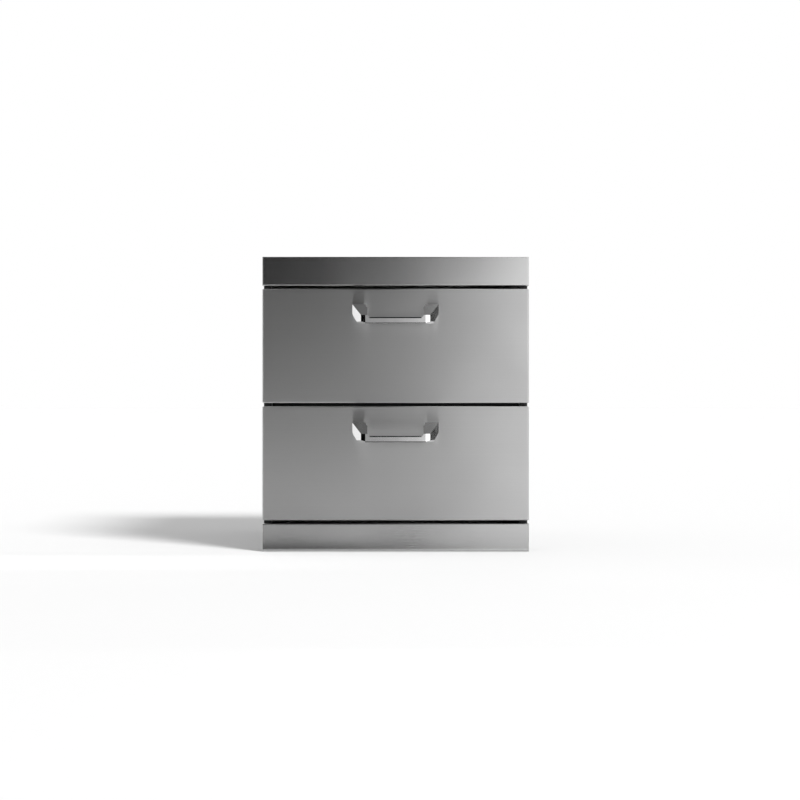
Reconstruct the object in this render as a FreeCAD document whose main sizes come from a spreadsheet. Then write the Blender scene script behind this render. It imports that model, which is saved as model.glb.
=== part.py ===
import FreeCAD, Part
import math
import os
import re

import Sketcher

# Built-in drawer unit for an outdoor kitchen: a folded stainless cabinet with a face frame,
# two drawers on three-member ball slides, and a cast bracket handle on each front.
# Each piece is drawn with X across the unit, Y running back from the face of the fronts,
# and Z up from the floor (or from the lower edge of its own drawer front).

Vector = FreeCAD.Vector
Constraint = Sketcher.Constraint

# Turns that lay a small piece's own Z along the unit, its corners staying in line with the holes.
TO_FRONT = FreeCAD.Rotation(Vector(1, 0, 0), Vector(0, 0, 1), Vector(0, -1, 0))
TO_RIGHT = FreeCAD.Rotation(Vector(0, 1, 0), Vector(0, 0, 1), Vector(1, 0, 0))
TO_LEFT = FreeCAD.Rotation(Vector(0, 1, 0), Vector(0, 0, -1), Vector(-1, 0, 0))
HALF_TURN = FreeCAD.Rotation(Vector(0, 0, 1), 180)

# Driving dimensions in millimetres: alias, value, what it measures.
DIMENSIONS = (
    ("front_width", 482.6, "width of the fronts and fascia strips"),
    ("top_strip_height", 52.0, "height of the upper fascia strip"),
    ("bottom_strip_height", 50.4, "height of the lower fascia strip"),
    ("drawer_front_height", 206.5, "height of one drawer front"),
    ("front_gap", 6.0, "gap between neighbouring fronts"),
    ("front_depth", 22.0, "thickness of a drawer front"),
    ("front_sheet", 1.2, "sheet of the fronts and strips"),
    ("front_bend", 2.4, "outer bend radius of the drawer fronts"),
    ("strip_bend", 1.8, "outer bend radius of the strips"),
    ("front_lip", 12.0, "return lip round the back of a front"),
    ("bumper_thickness", 3.0, "rubber bumper between front and face frame"),
    ("bumper_side", 8.0, "side of a square bumper"),
    ("bumper_inset", 20.0, "bumper centre from the front's upper or lower edge"),
    ("liner_sheet", 1.0, "sheet of the liner inside a drawer front"),
    ("liner_depth", 8.0, "depth of the liner's folded edge"),
    ("liner_gap", 0.4, "gap between the liner's edge and the front's wall"),
    ("frame_inset", 1.2, "face frame stands in from the fronts' sides by this"),
    ("frame_depth", 24.0, "depth of the face frame in front of the wall"),
    ("frame_sheet", 1.2, "sheet of the face frame"),
    ("frame_bend", 2.0, "outer bend radius of the face frame"),
    ("stile_width", 14.3, "width of a stile's face"),
    ("seat_lip", 9.0, "rear lip of the face frame, which seats on the wall"),
    ("rail_cover", 3.0, "how far a strip covers the edge of its rail"),
    ("rail_return", 12.0, "return flange of the bottom rail"),
    ("mid_rail_height", 20.0, "height of the rail between the drawers"),
    ("mid_rail_setback", 20.0, "middle rail stands back from the face frame by this"),
    ("mid_rail_depth", 15.0, "depth of the middle rail"),
    ("rear_room", 20.0, "cabinet deeper than its slides are long"),
    ("cabinet_top_drop", 14.4, "cabinet top below the top of the fronts"),
    ("cabinet_sheet", 1.0, "sheet of the cabinet panels"),
    ("cabinet_flange", 14.0, "folded flange of the cabinet panels"),
    ("vent_length", 46.0, "length of a vent slot in the back panel"),
    ("vent_width", 6.0, "width of a vent slot"),
    ("vent_pitch_x", 66.0, "distance between vent slots across"),
    ("vent_pitch_z", 14.0, "distance between rows of vent slots"),
    ("vent_columns", 5, "vent slots in a row"),
    ("vent_drop", 74.0, "lower row of vent slots below the cabinet's top"),
    ("mount_hole", 5.0, "diameter of a fixing hole in a side panel"),
    ("mount_front", 59.0, "front fixing holes behind the face of the fronts"),
    ("mount_ends", 60.0, "slides longer than the fixing holes are apart, front to back"),
    ("mount_low", 28.0, "lower fixing holes above the floor"),
    ("mount_high", 29.0, "upper fixing holes below the cabinet's top"),
    ("slide_width", 12.7, "width of a slide between cabinet and drawer"),
    ("slide_height", 45.8, "height of a slide"),
    ("slide_front", 6.0, "slide starts behind the face frame's front by this"),
    ("slide_rise", 60.0, "slide centre above the drawer's bottom"),
    ("slide_length", 500.0, "length of the slides and of the drawer tubs"),
    ("middle_setback", 10.0, "middle member behind the cabinet member's end"),
    ("rail_sheet", 1.2, "sheet of the slide members"),
    ("race_bend", 0.8, "inner bend radius of a hooked ball race"),
    ("rail_corner", 0.7, "cut corner where a slide member's web is folded"),
    ("member_gap", 0.7, "half the gap between the edges of members that face each other"),
    ("web_gap", 1.05, "gap between the cabinet member's and the middle member's webs"),
    ("ball_diameter", 3.2, "diameter of a bearing ball"),
    ("ball_gap", 0.05, "clearance between a ball and its race"),
    ("ball_step", 3.0, "inner ball row sits nearer the slide's centre by this"),
    ("ball_pitch", 80.0, "distance between balls along a cage"),
    ("cage_sheet", 0.5, "sheet of a ball cage"),
    ("cage_length", 200.0, "length of a ball cage"),
    ("cage_clear", 0.3, "cage's edges stand back from a race"),
    ("cage_shift", 5.0, "outer cage before the slide's middle, and inner cage behind it"),
    ("tub_rise", 13.0, "drawer tub above the lower edge of its front"),
    ("tub_height", 148.0, "height of a drawer tub"),
    ("tub_sheet", 1.0, "sheet of a drawer tub"),
    ("tub_bend", 1.8, "outer bend radius of a drawer tub"),
    ("tub_flange", 8.0, "folded top edge of a drawer tub"),
    ("tub_hem", 5.0, "turned-down end of the folded top edge"),
    ("tub_fit", 0.2, "gap between the tub's end walls and its sides"),
    ("wall_flange", 10.0, "folded edges of the tub's end walls"),
    ("handle_span", 155.0, "overall width of a handle"),
    ("handle_reach", 40.0, "how far a handle stands out"),
    ("handle_drop", 35.0, "handle's height from its posts' top to the bar's bottom"),
    ("handle_below", 29.3, "handle's top below the front's upper edge"),
    ("post_width", 20.0, "width of a handle's post on the front"),
    ("post_height", 13.0, "height of a handle's post on the front"),
    ("post_length", 24.0, "how far a handle's post runs straight out"),
    ("leg_draw", 15.6, "how far a leg's outer side leans inwards"),
    ("leg_thickness", 11.5, "thickness of a leg where it meets the bar"),
    ("corner_width", 7.9, "facet between a leg's outer side and the bar, across"),
    ("corner_depth", 3.5, "the same facet, front to back"),
    ("leg_facet", 3.8, "facet along a leg's lower outer edge"),
    ("bar_depth", 11.0, "depth of the bar"),
    ("bar_height", 11.5, "height of the bar in its middle"),
    ("bar_shoulder", 3.7, "rise of the bar's upper edge at its ends"),
    ("bar_edge_facet", 2.0, "narrow facets along the bar's lower and upper edges"),
    ("leg_fillet", 7.0, "fillet between the legs and the bar"),
    ("dip_fillet", 3.9, "fillet at the ends of the bar's lower middle"),
    ("screw_diameter", 4.0, "handle and front screws"),
    ("screw_fit", 0.1, "radial gap round a screw or rivet"),
    ("screw_head", 8.0, "diameter of a screw's head"),
    ("screw_head_height", 2.6, "height of a screw's head"),
    ("screw_grip", 9.0, "length of a handle screw inside its post"),
    ("thread_runout", 1.0, "threaded hole beyond the end of its screw"),
    ("spacer_diameter", 10.0, "hexagonal spacer behind a handle's post, across corners"),
    ("nut_diameter", 8.0, "hexagonal nut, across corners"),
    ("nut_height", 3.2, "height of a clinch nut"),
    ("front_screw_spacing", 300.0, "screws through tub and liner, across"),
    ("front_screw_low", 32.0, "lower screws above the tub's bottom"),
    ("front_screw_rise", 80.0, "upper screws above the lower ones"),
    ("rivet_diameter", 3.2, "diameter of a rivet's shank"),
    ("rivet_head", 6.4, "diameter of a rivet's head"),
    ("rivet_head_height", 1.4, "height of a rivet's head"),
    ("rivet_setback", 30.0, "first slide rivet behind the slide's front"),
    ("rivet_end", 40.0, "last slide rivet before the slide's rear end"),
    ("back_rivet_low", 60.0, "lowest back panel rivet above the floor"),
    ("back_rivet_top", 59.0, "highest back panel rivet below the cabinet's top"),
)

# Places worked out from the driving dimensions.
FRAME_HALF = "(front_width / 2 - frame_inset)"
ROOM_HALF = "(front_width / 2 - frame_inset - stile_width)"
CABINET_HALF = f"({ROOM_HALF} + cabinet_sheet)"
TUB_HALF = f"({ROOM_HALF} - slide_width)"
FRAME_Y = "(front_depth + bumper_thickness)"
SEAT_Y = f"({FRAME_Y} + frame_depth)"
BACK_Y = f"({FRAME_Y} + slide_length + rear_room)"
LINER_Y = "(front_depth - front_sheet)"
TUB_BACK_Y = f"({LINER_Y} + slide_length)"
SLIDE_Y = f"({FRAME_Y} + slide_front)"
LOWER_Z = "(bottom_strip_height + front_gap)"
UPPER_Z = f"({LOWER_Z} + drawer_front_height + front_gap)"
TOP_STRIP_Z = f"({UPPER_Z} + drawer_front_height + front_gap)"
TOTAL_Z = f"({TOP_STRIP_Z} + top_strip_height)"
CABINET_Z = f"({TOTAL_Z} - cabinet_top_drop)"
FRAME_TOP_Z = f"({TOTAL_Z} - frame_inset)"
SLIDE_Z = "(tub_rise + slide_rise)"
POST_Z = "(drawer_front_height - handle_below)"
SCREW_Z = f"({POST_Z} - post_height / 2)"
SCREW_X = "(handle_span / 2 - post_width / 2)"
RIVET_PITCH = "((slide_length - rivet_setback - rivet_end) / 2)"
BACK_PITCH = f"(({CABINET_Z} - back_rivet_low - back_rivet_top) / 2)"
OUTER_PLACE = "(slide_length / 2 - cage_shift)"
INNER_PLACE = "(slide_length / 2 + cage_shift)"
FACE_Y = f"((handle_reach - {BACK_Y} - rivet_head_height) / 2)"

# Slide section, measured from the cabinet wall towards the drawer, above the slide's centre.
RACE = "(ball_diameter / 2 + ball_gap)"
OUTER_BALL = f"(rail_sheet + {RACE})"
INNER_BALL = f"({OUTER_BALL} + 2 * {RACE} + rail_sheet)"
OUTER_ROW = f"(slide_height / 2 - rail_sheet - {RACE})"
INNER_ROW = f"({OUTER_ROW} - ball_step)"
MIDDLE_WEB = "(rail_sheet + web_gap)"
RISER_FOOT = f"({OUTER_ROW} - {RACE} - rail_sheet)"
INNER_LIP = f"({INNER_BALL} - {RACE} - rail_sheet)"
INNER_LIP_END = f"({INNER_ROW} - member_gap)"
RACE_BEND = f"min(race_bend; {RACE} - member_gap - 0.1)"
RACE_CROWN = f"({RACE_BEND} + rail_sheet)"
NOTCH = f"({RACE} + ball_gap)"

# Clearance holes, from the middle to a corner, spare reach of a cut, and how near counts as touching.
RIVET_HOLE = "(rivet_diameter / 2 + screw_fit)"
SCREW_HOLE = "(screw_diameter / 2 + screw_fit)"
SLIDE_ROW = ("H_Axis", 3, RIVET_PITCH)
WASTE = "1"
TOUCH = 1e-4
BALL_SIDES = 8

ALIAS = re.compile(r"\b(" + "|".join(name for name, value, note in DIMENSIONS) + r")\b")

doc = FreeCAD.newDocument("DrawerUnit")
dims = doc.addObject("Spreadsheet::Sheet", "Dims")
for row, (alias, size, note) in enumerate(DIMENSIONS, start=1):
    dims.set(f"A{row}", note)
    dims.set(f"B{row}", str(size))
    dims.setAlias(f"B{row}", alias)
doc.recompute()

pieces = []


def bound(formula):
    """The formula with each dimension's name pointing at its cell."""
    return ALIAS.sub(r"Dims.\1", str(formula))


def number(formula):
    """The formula's present value in millimetres."""
    return float(dims.evalExpression(bound(formula)))


def drive(target, prop, formula):
    """Ties one property to a formula of the driving dimensions."""
    target.setExpression(prop, bound(formula))


def place(piece, x=0, y=0, z=0):
    """Puts a piece at x, y behind the fronts' face and z above the floor."""
    drive(piece, "Placement.Base.x", x)
    drive(piece, "Placement.Base.y", f"{FACE_Y} + {y}")
    drive(piece, "Placement.Base.z", z)


def keep(piece, label, x=0, y=0, z=0):
    """Names a finished piece, places it and lists it for export."""
    piece.Label = label
    place(piece, x, y, z)
    pieces.append(piece)
    return piece


def new_body(name):
    body = doc.addObject("PartDesign::Body", name)
    body.AllowCompound = True
    return body


def new_sketch(body, name, plane, shift=0):
    """A sketch on one of the body's own planes, moved along the plane's normal."""
    sketch = body.newObject("Sketcher::SketchObject", name)
    support = [feature for feature in body.Origin.OriginFeatures if feature.Role == plane]
    sketch.AttachmentSupport = [(support[0], "")]
    sketch.MapMode = "FlatFace"
    drive(sketch, "AttachmentOffset.Base.z", shift)
    return sketch


def at_point(item, end, x, y):
    """Rules that hold a point of a sketch at two formulas."""
    return [(("DistanceX", -1, 1, item, end), x), (("DistanceY", -1, 1, item, end), y)]


def constrain(sketch, rules):
    """Adds rules of (constraint arguments, formula or None) and ties their sizes."""
    first = sketch.ConstraintCount
    made = [Constraint(*rule) if size is None else Constraint(*rule, number(size)) for rule, size in rules]
    sketch.addConstraint(made)
    for i, (rule, size) in enumerate(rules, start=first):
        if size is not None:
            drive(sketch, f"Constraints[{i}]", size)


def round_corner(before, corner, after, radius):
    """Ends, middle and turning sense of the arc that rounds a corner."""
    back = (before - corner).normalize()
    ahead = (after - corner).normalize()
    half = back.getAngle(ahead) / 2
    centre = corner + (back + ahead).normalize() * (radius / math.sin(half))
    start = corner + back * (radius / math.tan(half))
    end = corner + ahead * (radius / math.tan(half))
    middle = centre + (corner - centre).normalize() * radius
    turns_left = back.cross(ahead).z < 0
    return start, middle, end, turns_left


def outline(body, name, plane, corners, shift=0):
    """A closed outline through corners (x, y) or rounded corners (x, y, radius)."""
    sketch = new_sketch(body, name, plane, shift)
    points = [Vector(number(corner[0]), number(corner[1]), 0) for corner in corners]
    count = len(points)
    entry = list(points)
    leave = list(points)
    arcs = {}
    for i, corner in enumerate(corners):
        if len(corner) == 3:
            start, middle, end, left = round_corner(
                points[i - 1], points[i], points[(i + 1) % count], number(corner[2])
            )
            entry[i] = start
            leave[i] = end
            arcs[i] = (Part.Arc(start, middle, end), left)
    shapes = [Part.LineSegment(leave[i], entry[(i + 1) % count]) for i in range(count)]
    sketch.addGeometry(shapes + [arc for arc, left in arcs.values()], False)
    sketch.addGeometry([Part.Point(points[i]) for i in arcs], True)
    rules = []
    for i, corner in enumerate(corners):
        before = (i - 1) % count
        if i not in arcs:
            rules.append((("Coincident", before, 2, i, 1), None))
            rules += at_point(i, 1, corner[0], corner[1])
            continue
        turn = list(arcs).index(i)
        bend = count + turn
        tip = bend + len(arcs)
        first, second = (1, 2) if arcs[i][1] else (2, 1)
        rules += at_point(tip, 1, corner[0], corner[1])
        rules.append((("PointOnObject", tip, 1, before), None))
        rules.append((("PointOnObject", tip, 1, i), None))
        rules.append((("Tangent", before, 2, bend, first), None))
        rules.append((("Tangent", bend, second, i, 1), None))
        rules.append((("Radius", bend), corner[2]))
    constrain(sketch, rules)
    return sketch


def circles(body, name, plane, spots, radius, shift=0):
    """Equal circles centred on (x, y) formulas."""
    sketch = new_sketch(body, name, plane, shift)
    up = Vector(0, 0, 1)
    rings = [Part.Circle(Vector(number(x), number(y), 0), up, number(radius)) for x, y in spots]
    sketch.addGeometry(rings, False)
    rules = []
    for i, (x, y) in enumerate(spots):
        rules += at_point(i, 3, x, y)
        rules.append((("Radius", i), radius))
    constrain(sketch, rules)
    return sketch


def refresh(body, feature, sketch=None):
    """Works out one new feature and the body that holds it."""
    for item in (sketch, feature, body):
        if item:
            item.recompute()
            item.purgeTouched()


def grow(body, name, sketch, length, backwards=False):
    """Pads a sketch; backwards is against the sketch's normal."""
    pad = body.newObject("PartDesign::Pad", name)
    pad.Profile = sketch
    pad.Reversed = backwards
    drive(pad, "Length", length)
    refresh(body, pad, sketch)
    return pad


def carve(body, name, sketch, length, backwards=False):
    """Cuts a sketch into the body along its normal, or against it when backwards."""
    before = body.Shape.Volume
    pocket = body.newObject("PartDesign::Pocket", name)
    pocket.Profile = sketch
    pocket.Reversed = not backwards
    drive(pocket, "Length", length)
    refresh(body, pocket, sketch)
    if not body.Shape.Volume < before:
        raise ValueError(f"{body.Name}: {name} cuts nothing")
    return pocket


def repeat(body, name, feature, sketch, row):
    """Repeats a feature in a row along one of its sketch's axes: (axis, count, pitch)."""
    axis, count, pitch = row
    pattern = body.newObject("PartDesign::LinearPattern", name)
    pattern.Originals = [feature]
    pattern.Direction = (sketch, [axis])
    pattern.Mode = "Spacing"
    pattern.Occurrences = count
    drive(pattern, "Offset", pitch)
    body.Tip = pattern
    refresh(body, pattern)
    return pattern


def row_of_holes(body, part, plane, radius, first, row, shift, depth, backwards=False):
    """Six-sided clearance holes for small fasteners, in a row from the first spot."""
    name = body.Name + part
    sketch = outline(body, name, plane, hexagon(*first, radius), shift=shift)
    hole = carve(body, name + "Cut", sketch, depth, backwards)
    repeat(body, name + "Row", hole, sketch, row)


def edge_names(shape, wanted):
    """Names of the edges whose bounding box passes the test."""
    return [f"Edge{i}" for i, edge in enumerate(shape.Edges, start=1) if wanted(edge.BoundBox)]


def flat_at(low, high, level):
    """True where an edge lies at one level."""
    return abs(low - level) < TOUCH and abs(high - level) < TOUCH


def soften(body, name, base, edges, radius):
    """Fillets the named edges of a feature."""
    fillet = body.newObject("PartDesign::Fillet", name)
    fillet.Base = (base, edges)
    drive(fillet, "Radius", radius)
    refresh(body, fillet)
    return fillet


def cut_edges(body, name, base, edges, size):
    """Chamfers the named edges of a feature."""
    chamfer = body.newObject("PartDesign::Chamfer", name)
    chamfer.Base = (base, edges)
    drive(chamfer, "Size", size)
    refresh(body, chamfer)
    return chamfer


def plate(half, low, high):
    """Corners of an upright rectangle centred on x = 0."""
    return [(f"-{half}", low), (half, low), (half, high), (f"-{half}", high)]


def box_corners(x0, x1, y0, y1):
    return [(x0, y0), (x1, y0), (x1, y1), (x0, y1)]


def hexagon(x, y, radius):
    """Corners of a hexagon centred on (x, y), measured across its corners."""
    return [(f"{x} + {radius} * cos({60 * i})", f"{y} + {radius} * sin({60 * i})") for i in range(6)]


def strip(path, sheet, bend=None, folds=None):
    """Outline of a sheet folded square along a path, which is the outer face of its folds.

    Folds lists the path points that are bent round; the others are left sharp.
    """
    values = [Vector(number(x), number(y), 0) for x, y in path]
    runs = [after - before for before, after in zip(values, values[1:])]
    last = len(path) - 1
    folds = range(1, last) if folds is None else folds
    if sum(back.cross(ahead).z for back, ahead in zip(runs, runs[1:])) < 0:
        path = path[::-1]
        runs = [-run for run in runs[::-1]]
        folds = [last - fold for fold in folds]
    tight = f"{bend} - {sheet}"
    outer = []
    inner = []
    for i, (x, y) in enumerate(path):
        shift = Vector(0, 0, 0)
        for run in runs[max(i - 1, 0) : i + 1]:
            shift += Vector(-run.y, run.x, 0).normalize()
        folded = (f"{x} + {round(shift.x)} * {sheet}", f"{y} + {round(shift.y)} * {sheet}")
        outer.append((x, y, bend) if i in folds else (x, y))
        inner.append((*folded, tight) if i in folds else folded)
    return outer + inner[::-1]


def pan(name, width, height, depth, sheet, bend=None, lip=None, corners=False, foot=None):
    """A folded pan, open to the back: face, four walls and, if asked, a return lip.

    The edges of its face are bent round if a bend is given, and its four upright
    corners too where corners is set. Foot is the cut of its two lower corners.
    """
    body = new_body(name)
    half = f"({width}) / 2"
    edges = plate(half, "0", height)
    if foot:
        low = [(f"-({half} - {foot})", "0"), (f"({half} - {foot})", "0"), (half, foot)]
        edges = low + edges[2:] + [(f"-{half}", foot)]
    rim = outline(body, name + "Rim", "XZ_Plane", edges)
    block = grow(body, name + "Block", rim, depth, backwards=True)
    x_side = number(half)
    z_top = number(height)

    def is_bend(box):
        at_side = min(abs(box.XMin - x_side), abs(box.XMin + x_side)) < TOUCH
        at_end = min(abs(box.ZMin), abs(box.ZMin - z_top)) < TOUCH
        upright = box.YLength > TOUCH and at_side and at_end
        return flat_at(box.YMin, box.YMax, 0) or (corners and upright)

    if bend:
        soften(body, name + "Bends", block, edge_names(block.Shape, is_bend), bend)
    lip_sheet = sheet if lip else "0"
    hollow = outline(
        body,
        name + "Hollow",
        "XZ_Plane",
        plate(f"({half} - {sheet})", sheet, f"{height} - {sheet}"),
        shift=f"{lip_sheet} - {depth}",
    )
    carve(body, name + "Inside", hollow, f"{depth} - {sheet} - {lip_sheet}")
    if lip:
        mouth = outline(
            body,
            name + "Mouth",
            "XZ_Plane",
            plate(f"({half} - {lip})", lip, f"{height} - {lip}"),
            shift=f"-({depth})",
        )
        carve(body, name + "LipEdge", mouth, sheet)
    return body


def stepped(name, stages):
    """A small six-sided turned piece along Z: each stage is (radius, start, length)."""
    body = new_body(name)
    for i, (radius, start, length) in enumerate(stages):
        ring = outline(body, f"{name}Ring{i}", "XY_Plane", hexagon("0", "0", radius), shift=start)
        grow(body, f"{name}Step{i}", ring, length)
    return body


def copies(master, spots, turn=None):
    """Copies of a piece at (x, y, z) formulas, turned alike."""
    made = []
    for x, y, z in spots:
        link = doc.addObject("App::Link", f"{master.Name}Copy")
        link.LinkedObject = master
        link.LinkTransform = False
        if turn:
            link.Placement.Rotation = turn
        drive(link, "Placement.Base.x", x)
        drive(link, "Placement.Base.y", y)
        drive(link, "Placement.Base.z", z)
        made.append(link)
    return made


def joined(name, members):
    """Separate solids kept as one group."""
    group = doc.addObject("Part::Compound", name)
    group.Links = members
    return group


def stile(side, label):
    """Upright of the face frame: face, outer wall and the lip that seats on the wall."""
    body = new_body("Stile" + label.title().replace("_", ""))
    sign = f"({side})"
    path = [
        (f"{sign} * {ROOM_HALF}", FRAME_Y),
        (f"{sign} * {FRAME_HALF}", FRAME_Y),
        (f"{sign} * {FRAME_HALF}", SEAT_Y),
        (f"{sign} * ({FRAME_HALF} - seat_lip)", SEAT_Y),
    ]
    section = outline(
        body, body.Name + "Section", "XY_Plane", strip(path, "frame_sheet", "frame_bend", folds=[1])
    )
    grow(body, body.Name + "Length", section, f"{FRAME_TOP_Z} - frame_inset - 2 * frame_sheet")
    keep(body, label, z="frame_inset + frame_sheet")


def rail(label, path, folds):
    """A member across the face frame, folded along a path of (y, z)."""
    body = new_body(label.title().replace("_", ""))
    section = outline(
        body,
        body.Name + "Section",
        "YZ_Plane",
        strip(path, "frame_sheet", "frame_bend", folds),
        shift=f"-{ROOM_HALF}",
    )
    grow(body, body.Name + "Length", section, f"2 * {ROOM_HALF}")
    keep(body, label)
    return body


def top_rail():
    """Upper member of the face frame, with tabs that close the stiles' ends."""
    path = [
        (SEAT_Y, f"({FRAME_TOP_Z} - seat_lip)"),
        (SEAT_Y, FRAME_TOP_Z),
        (FRAME_Y, FRAME_TOP_Z),
        (FRAME_Y, f"({TOP_STRIP_Z} + rail_cover)"),
    ]
    body = rail("top_rail", path, folds=[2])
    tab = outline(
        body,
        "TopRailTab",
        "XY_Plane",
        box_corners(f"-{FRAME_HALF}", FRAME_HALF, f"{FRAME_Y} + frame_bend", f"{SEAT_Y} - frame_bend"),
        shift=f"{FRAME_TOP_Z} - frame_sheet",
    )
    grow(body, "TopRailTabs", tab, "frame_sheet")


def bottom_rail():
    """Lower member of the face frame, an angle behind the lower strip."""
    top = "(bottom_strip_height - rail_cover)"
    path = [(f"({FRAME_Y} + rail_return)", top), (FRAME_Y, top), (FRAME_Y, "frame_inset")]
    rail("bottom_rail", path, folds=[1])


def mid_rail():
    """Rail between the drawers, set back and open to the rear."""
    front = f"({FRAME_Y} + mid_rail_setback)"
    middle = f"({UPPER_Z} - front_gap / 2)"
    path = [
        (f"({front} + mid_rail_depth)", f"({middle} + mid_rail_height / 2)"),
        (front, f"({middle} + mid_rail_height / 2)"),
        (front, f"({middle} - mid_rail_height / 2)"),
        (f"({front} + mid_rail_depth)", f"({middle} - mid_rail_height / 2)"),
    ]
    rail("mid_rail", path, folds=[])


def mount_spots():
    """Fixing holes of a side panel: (y, z) formulas."""
    return [
        (f"(mount_front + {step} * (slide_length - mount_ends))", z)
        for step in (0, 1)
        for z in ("mount_low", f"({CABINET_Z} - mount_high)")
    ]


def side_panel(side, label):
    """Side of the cabinet: a wall with a rear flange and upper and lower flanges."""
    name = "SidePanel" + ("Right" if side > 0 else "Left")
    body = new_body(name)
    sign = f"({side})"
    front = f"({FRAME_Y} + frame_sheet)"
    rear = f"({BACK_Y} - cabinet_sheet)"
    path = [
        (f"{sign} * {CABINET_HALF}", front),
        (f"{sign} * {CABINET_HALF}", rear),
        (f"{sign} * ({CABINET_HALF} - cabinet_flange)", rear),
    ]
    section = outline(
        body, name + "Section", "XY_Plane", strip(path, "cabinet_sheet", folds=[]), shift="cabinet_sheet"
    )
    grow(body, name + "Wall", section, f"{CABINET_Z} - 2 * cabinet_sheet")
    for i, level in enumerate(("cabinet_sheet", f"{CABINET_Z} - 2 * cabinet_sheet")):
        flange = outline(
            body,
            f"{name}Flange{i}",
            "XY_Plane",
            box_corners(
                f"{sign} * ({CABINET_HALF} - cabinet_sheet / 2)",
                f"{sign} * ({CABINET_HALF} - cabinet_flange)",
                front,
                f"{rear} - cabinet_flange",
            ),
            shift=level,
        )
        grow(body, f"{name}Fold{i}", flange, "cabinet_sheet")
    outside = f"{sign} * {CABINET_HALF}"
    for part, drawer_z in (("LowerHoles", LOWER_Z), ("UpperHoles", UPPER_Z)):
        first = (f"({SLIDE_Y} + rivet_setback)", f"({drawer_z} + {SLIDE_Z})")
        rivets = (RIVET_HOLE, first, SLIDE_ROW)
        row_of_holes(body, part, "YZ_Plane", *rivets, outside, "cabinet_sheet", side > 0)
    holes = circles(body, name + "MountHoles", "YZ_Plane", mount_spots(), "mount_hole / 2", shift=outside)
    carve(body, name + "MountHolesCut", holes, "cabinet_sheet", backwards=side > 0)
    keep(body, label)


def floor_and_top():
    """Base and top sheets of the cabinet; the base turns up behind the bottom rail."""
    edges = box_corners(
        f"-{CABINET_HALF}", CABINET_HALF, f"({FRAME_Y} + frame_sheet)", f"({BACK_Y} - cabinet_sheet)"
    )
    base = new_body("BasePanel")
    grow(base, "BaseFlat", outline(base, "BaseSheet", "XY_Plane", edges), "cabinet_sheet")
    upstand = outline(
        base,
        "BaseUpstand",
        "XZ_Plane",
        plate(f"({CABINET_HALF} - cabinet_flange - cabinet_sheet)", "0", "(frame_inset + rail_return)"),
        shift=f"-({FRAME_Y} + frame_sheet + cabinet_sheet)",
    )
    grow(base, "BaseFold", upstand, "cabinet_sheet")
    keep(base, "base_panel")
    top = new_body("TopPanel")
    sheet = outline(top, "TopSheet", "XY_Plane", edges, shift=f"{CABINET_Z} - cabinet_sheet")
    grow(top, "TopFlat", sheet, "cabinet_sheet")
    keep(top, "top_panel")


def back_panel():
    """Rear sheet of the cabinet with a bank of vent slots near its top."""
    body = new_body("BackPanel")
    rear = f"-{BACK_Y}"
    sheet = outline(body, "BackSheet", "XZ_Plane", plate(CABINET_HALF, "0", CABINET_Z), shift=rear)
    grow(body, "BackFlat", sheet, "cabinet_sheet")
    left = "(-vent_pitch_x * (vent_columns - 1) / 2)"
    for name, drop in (("LowVent", "vent_drop"), ("HighVent", "(vent_drop - vent_pitch_z)")):
        level = f"({CABINET_Z} - {drop})"
        slot = box_corners(
            f"{left} - vent_length / 2",
            f"{left} + vent_length / 2",
            f"{level} - vent_width / 2",
            f"{level} + vent_width / 2",
        )
        vent = outline(body, name, "XZ_Plane", slot, shift=rear)
        cut = carve(body, name + "Cut", vent, "cabinet_sheet")
        repeat(body, name + "Row", cut, vent, ("H_Axis", round(number("vent_columns")), "vent_pitch_x"))
    for part, side in (("LeftHoles", -1), ("RightHoles", 1)):
        first = (f"({side}) * ({CABINET_HALF} - cabinet_flange / 2)", "back_rivet_low")
        row = ("V_Axis", 3, BACK_PITCH)
        row_of_holes(body, part, "XZ_Plane", RIVET_HOLE, first, row, rear, "cabinet_sheet")
    keep(body, "back_panel")


def strips():
    """Fixed fascia strips above and below the drawers, seated on the face frame's rails."""
    for name, height, label, z in (
        ("TopStrip", "top_strip_height", "top_fascia_strip", TOP_STRIP_Z),
        ("BottomStrip", "bottom_strip_height", "bottom_fascia_strip", "0"),
    ):
        body = pan(name, "front_width", height, FRAME_Y, "front_sheet", "strip_bend", "front_lip")
        keep(body, label, z=z)


def bumper():
    """Pattern of a rubber bumper, seated on the plane it stands in front of."""
    body = new_body("Bumper")
    half = "bumper_side / 2"
    face = outline(body, "BumperFace", "XZ_Plane", box_corners(f"-{half}", half, f"-{half}", half))
    grow(body, "BumperBlock", face, "bumper_thickness")
    return body


def bumpers(pattern, label, drawer_z):
    """Rubber bumpers stuck on the stiles behind a drawer front's corners."""
    across = f"({FRAME_HALF} - stile_width / 2)"
    spots = [
        (f"({side}) * {across}", FRAME_Y, height)
        for side in (-1, 1)
        for height in ("bumper_inset", "drawer_front_height - bumper_inset")
    ]
    keep(joined(label.title().replace("_", ""), copies(pattern, spots)), label, z=drawer_z)


def member(name, half_section, length, label, side, y, z):
    """One rolled slide member: its section's upper half and the same below, drawn out along Y."""
    body = new_body(name)
    lower_half = [(s, f"(-{level})", *bend) for s, level, *bend in half_section[::-1]]
    corners = [(f"({side}) * ({ROOM_HALF} - ({s}))", *rest) for s, *rest in half_section + lower_half]
    section = outline(body, name + "Section", "XZ_Plane", corners)
    grow(body, name + "Length", section, length, backwards=True)
    keep(body, label, y=y, z=z)
    return body


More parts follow.
